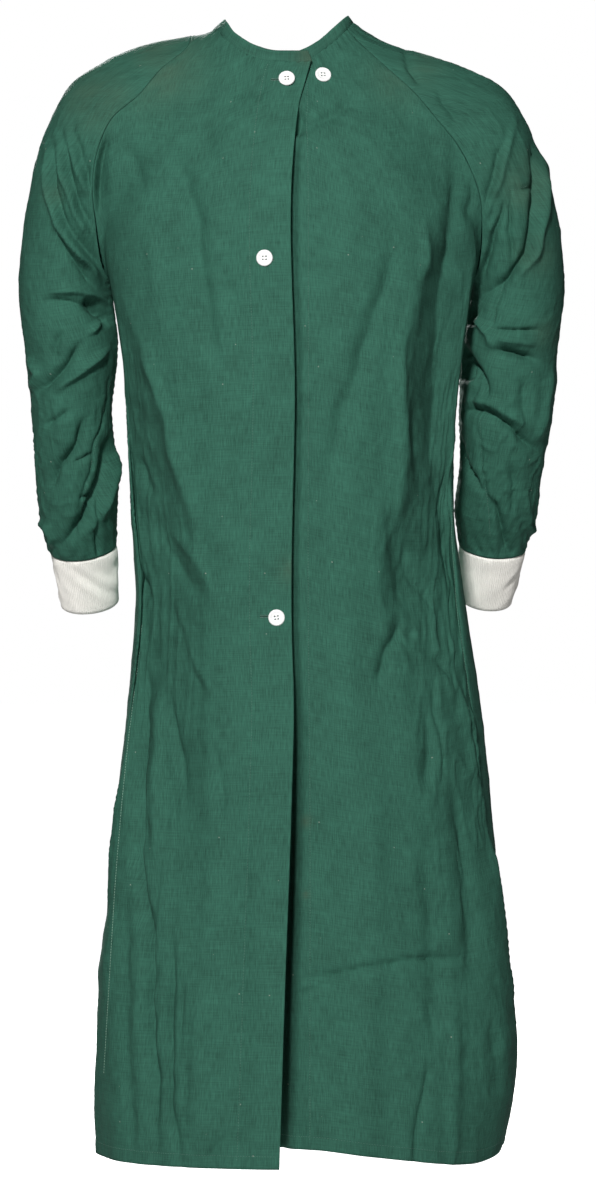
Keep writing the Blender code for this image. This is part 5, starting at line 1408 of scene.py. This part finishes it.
leftCuff = ribbedCuff("leftCuff", -1, cuffLook)
rightCuff = ribbedCuff("rightCuff", 1, cuffLook)
neckBand = neckBandPiece("neckBand", bandLook)

buttonLook = {
    "profile": [  # radius and height, from the middle of the top to the middle of the back
        (0.0, 0.00085), (0.0030, 0.00088), (0.0052, 0.00100), (0.0058, 0.00125), (0.0063, 0.00155),
        (0.0071, 0.00168), (0.0079, 0.00160), (0.0086, 0.00115), (0.0089, 0.00045), (0.0088, -0.00030),
        (0.0083, -0.00080), (0.0070, -0.00125), (0.0052, -0.00140), (0.0, -0.00140),
    ],
    "turns": 56,
    "holeRadius": 0.00090, "holeOffset": 0.00235, "holeTurns": 20, "holeReach": 0.01,
    "threadRadius": 0.00018, "threadHeight": 0.00105, "threadShift": 0.00018,
    "sharp": 38,  # degrees
    "lift": 0.0020,  # the button's middle above the middle of the cloth
    "places": [  # name, node, x, z, whether on the outer back, turn
        ("topButton", "button_neck", -0.0033, -0.0688, True, 0.1),
        ("spareButton", "button_neck_spare", 0.0370, -0.0589, False, 0.0),
        ("chestButton", "button_chest", -0.0269, -0.2649, True, 0.02),
        ("hipButton", "button_hip", -0.0140, -0.6520, True, 0.15),
    ],
}


# A profile of radius and height turned about the upright axis, its first and last points on the axis.
def turnedMesh(name, profile, steps):
    r, h = np.array(profile).T
    angle = np.linspace(0, 2 * math.pi, steps, endpoint=False)
    turning = (r[1:-1, None] * np.cos(angle), r[1:-1, None] * np.sin(angle), h[1:-1, None] + 0 * angle)
    points = np.concatenate((np.stack(turning, -1).reshape(-1, 3), [(0, 0, h[0]), (0, 0, h[-1])]))
    index = np.arange((len(r) - 2) * steps).reshape(-1, steps)
    index = np.concatenate((index, index[:, :1]), 1)
    top, bottom = len(points) - 2, len(points) - 1
    faces = faceCorners(index, True).tolist()
    faces += [[top, a, b] for a, b in zip(index[0, :-1], index[0, 1:])]
    faces += [[bottom, b, a] for a, b in zip(index[-1, :-1], index[-1, 1:])]
    return meshObject(name, points, faces)


# Four holes cut through the turned blank, then the button is laid on the cloth, turned by a little.
def sewnButton(name, node, x, z, over, twist, look):
    made = turnedMesh(name, look["profile"], look["turns"])
    radius, reach = look["holeRadius"], look["holeReach"]
    drill = [(0, reach), (radius, reach), (radius, -reach), (0, -reach)]
    cutters = []
    for k in range(4):
        angle = math.pi / 4 + k * math.pi / 2
        hole = turnedMesh(name + "Hole", drill, look["holeTurns"])
        hole.location = (look["holeOffset"] * math.cos(angle), look["holeOffset"] * math.sin(angle), 0)
        cutters.append(hole)
        cutting = made.modifiers.new("hole", "BOOLEAN")
        cutting.operation, cutting.object, cutting.solver = "DIFFERENCE", hole, "EXACT"
    bpy.context.view_layer.update()
    mesh = bpy.data.meshes.new_from_object(made.evaluated_get(bpy.context.evaluated_depsgraph_get()))
    for hole in cutters:
        bpy.data.objects.remove(hole, do_unlink=True)
    made.modifiers.clear()
    made.data = mesh
    section = bodySection(np.array([z]))
    base = onForm(np.array([(x, (section[4] - section[2])[0], z)]))
    normal = formNormal(base)[0]
    centre = base[0] + normal * (lapMove(base, over)[0] + look["lift"])
    side = unit(np.cross((0, 0, 1.0), normal))
    up, c, s = np.cross(normal, side), math.cos(twist), math.sin(twist)
    turn = np.stack((side * c + up * s, up * c - side * s, normal), 1)
    points = np.zeros(len(mesh.vertices) * 3)
    mesh.vertices.foreach_get("co", points)
    mesh.vertices.foreach_set("co", (points.reshape(-1, 3) @ turn.T + centre).ravel())
    mesh.update()
    mesh.shade_smooth()
    mesh.set_sharp_from_angle(angle=math.radians(look["sharp"]))
    mesh.materials.clear()
    mesh.materials.append(plastic)
    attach(made, "root")
    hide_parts(node)
    return centre, turn


# Places and outward directions of a finished cloth at a distance from one of its edges, by straight steps
# between the grid's two nearest points in every row.
def besideEdge(name, edge, offset, first=0, last=None):
    cloth = surfaces[name]
    grid, normal, reach = cloth["grid"], cloth["normal"], cloth["reach"][edge]
    if edge in ("top", "bottom"):
        grid, normal, reach = grid.transpose(1, 0, 2), normal.transpose(1, 0, 2), reach.T
    if edge in ("last", "bottom"):
        grid, normal, reach = grid[:, ::-1], normal[:, ::-1], reach[:, ::-1]
    row = np.arange(len(grid))[first:last]
    k = np.clip((reach[row] < offset).sum(1) - 1, 0, grid.shape[1] - 2)
    t = ((offset - reach[row, k]) / (reach[row, k + 1] - reach[row, k]))[:, None]
    return grid[row, k] * (1 - t) + grid[row, k + 1] * t, normal[row, k] * (1 - t) + normal[row, k + 1] * t


# Places on a finished cloth under a path seen from behind, in millimetres: from each path point's nearest
# grid point, one step along the two directions of the grid.
def seenLine(name, path, face="back", spacing=5.0):
    grid, normal = surfaces[name]["grid"], surfaces[name]["normal"]
    seen = seenPlace(grid, face)
    path = np.array(path, float)
    knots = runAlong(path)
    path = smoothCurve(knots, path, np.linspace(0, knots[-1], int(knots[-1] / spacing) + 2))
    rows, columns = grid.shape[:2]
    hidden = 1e6 * (normal[..., 1] * (1 if face == "back" else -1) > -0.05)
    distance = ((seen.reshape(1, -1, 2) - path[:, None]) ** 2).sum(-1) + hidden.reshape(1, -1)
    i, j = np.divmod(distance.argmin(1), columns)
    i, j = np.clip(i, 1, rows - 2), np.clip(j, 1, columns - 2)
    down, across = seen[i + 1, j] - seen[i - 1, j], seen[i, j + 1] - seen[i, j - 1]
    share = np.linalg.solve(np.stack((down, across), -1), (path - seen[i, j])[..., None])[..., 0]
    down, across = np.clip(share, -0.6, 0.6).T[..., None]
    step = down * (grid[i + 1, j] - grid[i - 1, j])
    return grid[i, j] + step + across * (grid[i, j + 1] - grid[i, j - 1]), normal[i, j]


threadRuns = {}  # name: lists of stitches' starts, ends, outward directions and radii


# Keeps stitches from starts to ends for the thread piece of that name.
def addStitches(name, starts, ends, normals, radius):
    threadRuns.setdefault(name, []).append((starts, ends, normals, np.full(len(starts), radius)))


# A row of stitches along a line: one to each pitch, covering a share of it, on the cloth's outer side.
def stitchLine(name, line, pitch=0.0030, share=0.74, inset=0.13, radius=0.00024, lift=0.00078):
    points, normals = line
    run = runAlong(points)
    starts = np.arange(int(run[-1] / pitch)) * pitch + pitch * inset
    outward = unit(steppedAlong(starts + pitch * share / 2, run, normals))
    raised = points + unit(normals) * lift
    first, last = (steppedAlong(places, run, raised) for places in (starts, starts + pitch * share))
    addStitches(name, first, last, outward, radius)


threadRings = ((0.0, 0.45, -0.6), (0.5, 1.0, 0.35), (1.0, 0.45, -0.6))  # share along, size and rise


# Sewn thread: each stitch is three rings of four points from its start to its end, thin at both ends and
# standing up in its middle, wound outwards by the sign of its volume.
def threadPiece(name, material):
    starts, ends, normals, radius = (np.concatenate(part) for part in zip(*threadRuns[name]))
    along = unit(ends - starts)
    side = np.cross(along, normals)
    rings = []
    for share, size, rise in threadRings:
        middle = starts + (ends - starts) * share + normals * (radius * rise)[:, None]
        for a, b in ((1, 0), (0, 1), (-1, 0), (0, -1)):
            rings.append(middle + (side * a + normals * b) * (radius * size)[:, None])
    points = np.stack(rings, 1).reshape(-1, 3)
    quad = [[k + a, k + (a + 1) % 4, k + 4 + (a + 1) % 4, k + 4 + a] for k in (0, 4) for a in range(4)]
    quad = np.array(quad + [[3, 2, 1, 0], [8, 9, 10, 11]])
    faces = (quad[None] + 12 * np.arange(len(starts))[:, None, None]).reshape(-1, 4)
    corners = points[:12][quad] - points[:12][quad].mean((0, 1))
    volume = sum(f[0] @ np.cross(f[1], f[2]) + f[0] @ np.cross(f[2], f[3]) for f in corners)
    made = meshObject(name, points, (faces if volume >= 0 else faces[:, ::-1]).tolist())
    made.data.shade_smooth()
    made.data.materials.append(material)
    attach(made, "root")
    print("stitches made:", name, len(starts))


stitching = {
    "hem": 0.0138,  # metres from the edge
    "facings": {"leftBack": 0.0445, "rightBack": 0.0660},
    "sideSeam": 0.0012,
    "sideFrom": 60,  # grid rows below the underarm
    "band": 0.0048,
    # a stitched line along the left side's seam ridge, pale so that it paints the ridge's highlight
    "highlightLine": [
        (-164, -660), (-175, -748), (-184, -836), (-191, -917), (-197, -1003), (-202, -1091), (-206, -1160),
    ],
    "sleeves": [
        ("leftSleeve", [(-198, -384), (-206, -414), (-217, -465), (-228, -516), (-238, -560)]),
        ("rightSleeve", [(211, -428), (214, -485), (219, -522), (222, -562)]),
        ("rightSleeve", [(222, -331), (250, -333), (278, -333)]),
        ("rightSleeve", [(241, -178), (256, -175), (270, -170)]),
        ("rightSleeve", [(235, -288), (231, -306), (226, -330)]),
    ],
    "buttonholes": [
        [(-21, -55.5), (-12, -55.5), (0, -55.5)],
        [(-33, -651), (-24, -651), (-12, -651)],
        [(-36, -255), (-27, -255), (-18, -255)],
    ],
    "holeStitches": 34,  # on each side of a buttonhole
    "holeSides": (0.00035, 0.0019),  # where they start and end beside its slit
    "holeLift": 0.0008,
    "holeRadius": 0.00028,
    # the painted slit shadow strip: its lift and radius
    "slit": (0.00072, 0.00055),  # the slit's lift and radius
}
for name in ("leftBack", "rightBack", "frontPanel"):
    stitchLine("greenStitches", besideEdge(name, "bottom", stitching["hem"], 2, -2))
for name, width in stitching["facings"].items():
    stitchLine("greenStitches", besideEdge(name, "first", width, 2, -2))
sideFrom = int((surfaces["rightBack"]["grid"][:, -1, 2] > underarms[1][2]).sum()) + stitching["sideFrom"]
# side seams: real stitches in a pale thread that paints the highlight along the seam ridges
stitchLine("highlightStitches", besideEdge("rightBack", "last", stitching["sideSeam"], sideFrom, -2))
stitchLine("highlightStitches", seenLine("leftBack", stitching["highlightLine"]), share=0.9, radius=0.0005)
stitchLine("greenStitches", besideEdge("neckBand", "top", stitching["band"], 4, -4), radius=0.00026)
for name, path in stitching["sleeves"]:
    stitchLine("greenStitches", seenLine(name, path))
# Buttonholes: two rows of short upright stitches, and between them a near-black strip that paints the shadow
# inside each slit.
for path in stitching["buttonholes"]:
    points, normals = seenLine("leftBack", path, spacing=2.0)
    up = np.cross(unit(np.gradient(points, axis=0)), normals)
    up *= np.sign(up[:, 2:])
    places, run = np.linspace(0, len(points) - 1, stitching["holeStitches"]), np.arange(len(points))
    points, normals, up = (steppedAlong(places, run, table) for table in (points, normals, up))
    normals, up = unit(normals), unit(up)
    raised = normals * stitching["holeLift"]
    for side in (-1, 1):
        low, high = (points + up * side * off + raised for off in stitching["holeSides"])
        addStitches("greenStitches", low, high, normals, stitching["holeRadius"])
    # painted shadow: a near-black strip along the slit stands in for the shade inside it
    lift, radius = stitching["slit"]
    slit = points + normals * lift
    addStitches("paintedSlitShadows", slit[:-1], slit[1:], normals[:-1], radius)

# Buttons, each with two pairs of threads across its holes.
for place in buttonLook["places"]:
    centre, turn = sewnButton(*place, buttonLook)
    r, height = buttonLook["holeOffset"] / math.sqrt(2), buttonLook["threadHeight"]
    for a in (-1, 1):
        for shift in (-buttonLook["threadShift"], buttonLook["threadShift"]):
            ends = np.array([(-r, a * r + shift, height), (r, a * r + shift, height)]) @ turn.T + centre
            addStitches("buttonThread", ends[:1], ends[1:], turn[None, :, 2], buttonLook["threadRadius"])

for piece, node, slot, material, flat, area in (
    (leftBack, "back_left", "gown_cloth", cotton, (0.34, 1.24), 0.296),
    (rightBack, "back_right", "gown_cloth", cotton, (0.38, 1.25), 0.349),
    (frontPanel, "front", "gown_cloth", cotton, (0.70, 1.20), 0.668),
    (leftSleeve, "sleeve_left", "gown_cloth", cotton, (0.43, 0.64), 0.184),
    (rightSleeve, "sleeve_right", "gown_cloth", cotton, (0.43, 0.64), 0.187),
    (neckBand, "neckband", "gown_cloth", bandCotton, (0.54, 0.0155), 0.0081),
    (leftCuff, "cuff_left", "cuff_knit", knit, (0.24, 0.066), 0.0145),
    (rightCuff, "cuff_right", "cuff_knit", knit, (0.24, 0.066), 0.0139),
):
    piece.data.materials.append(material)
    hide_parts(node)

threadPiece("buttonThread", whiteThread)
threadPiece("greenStitches", thread)
# real side-seam stitches whose pale colour is a painted highlight
threadPiece("highlightStitches", highlightThread)
# the near-black strips are painted shadow in the buttonhole slits
threadPiece("paintedSlitShadows", paintedSlitShadow)
print("pieces placed")

lookAt = (0.0, 0.0, -0.62)
studio = {
    "floor": -1.52, "floorReach": 30, "floorColour": (0.45, 0.45, 0.45, 1), "floorRoughness": 0.9,
    "lights": [  # name, place, size, watts
        ("keyLight", (-0.6, -4.2, 1.75), 0.5, 262),
        ("lowLight", (0.0, -4.4, -1.3), 1.2, 14),
        ("farLight", (-0.9, 4.1, 1.6), 0.9, 300),
    ],
    "ambient": 0.05,
}
corners = np.array([(-1, -1, 1), (1, -1, 1), (1, 1, 1), (-1, 1, 1)])
corners = corners * (studio["floorReach"], studio["floorReach"], studio["floor"])
floor = meshObject("studioFloor", corners, [(0, 1, 2, 3)])
pale = bpy.data.materials.new("paleFloor")
pale.use_nodes = True
paint = pale.node_tree.nodes["Principled BSDF"]
paint.inputs["Base Color"].default_value = studio["floorColour"]
paint.inputs["Roughness"].default_value = studio["floorRoughness"]
glow = addNode(pale.node_tree, "Emission", {"Color": (1, 1, 1, 1), "Strength": 1.0})
both = addNode(pale.node_tree, "AddShader", {0: paint.outputs[0], 1: glow.outputs[0]})
eye = addNode(pale.node_tree, "LightPath")
seen = {0: eye.outputs["Is Camera Ray"], 1: paint.outputs[0], 2: both.outputs[0]}
seenFloor = addNode(pale.node_tree, "MixShader", seen)
pale.node_tree.links.new(seenFloor.outputs[0], pale.node_tree.nodes["Material Output"].inputs[0])
floor.data.materials.append(pale)


# Turns an object's -Z axis towards a place.
def aim(made, towards):
    direction = np.array(towards) - np.array(made.location)
    away = -unit(direction)
    side = unit(np.cross((0, 0, 1.0), away))
    up = np.cross(away, side)
    matrix = np.eye(4)
    matrix[:3, :3] = np.stack((side, up, away), 1)
    matrix[:3, 3] = made.location
    made.matrix_world = matrix.T.tolist()


for name, place, size, watts in studio["lights"]:
    lamp = bpy.data.lights.new(name, "AREA")
    lamp.shape, lamp.size, lamp.energy = "SQUARE", size, watts
    made = newObject(name, lamp)
    made.location = place
    aim(made, lookAt)

world = bpy.data.worlds.new("studioSky")
bpy.context.scene.world = world
world.use_nodes = True
sky = world.node_tree
sky.nodes.clear()
shown = addNode(sky, "Background", {"Color": (1, 1, 1, 1), "Strength": 1.0})
lit = addNode(sky, "Background", {"Color": (1, 1, 1, 1), "Strength": studio["ambient"]})
ray = addNode(sky, "LightPath")
both = addNode(sky, "MixShader", {0: ray.outputs["Is Camera Ray"], 1: lit.outputs[0], 2: shown.outputs[0]})
sky.links.new(both.outputs[0], sky.nodes.new("ShaderNodeOutputWorld").inputs[0])

view = bpy.data.cameras.new("frontCamera")
camera = newObject("frontCamera", view)
camera.location = viewing["from"]
camera.rotation_euler = (math.pi / 2, 0, 0)
view.sensor_fit, view.sensor_height = "VERTICAL", viewing["sensor"]
view.lens = viewing["sensor"] * -viewing["from"][1] / viewing["frameHeight"]
view.clip_end = 100
bpy.context.scene.camera = camera
bpy.context.scene.view_settings.view_transform = "Standard"
print("studio made")
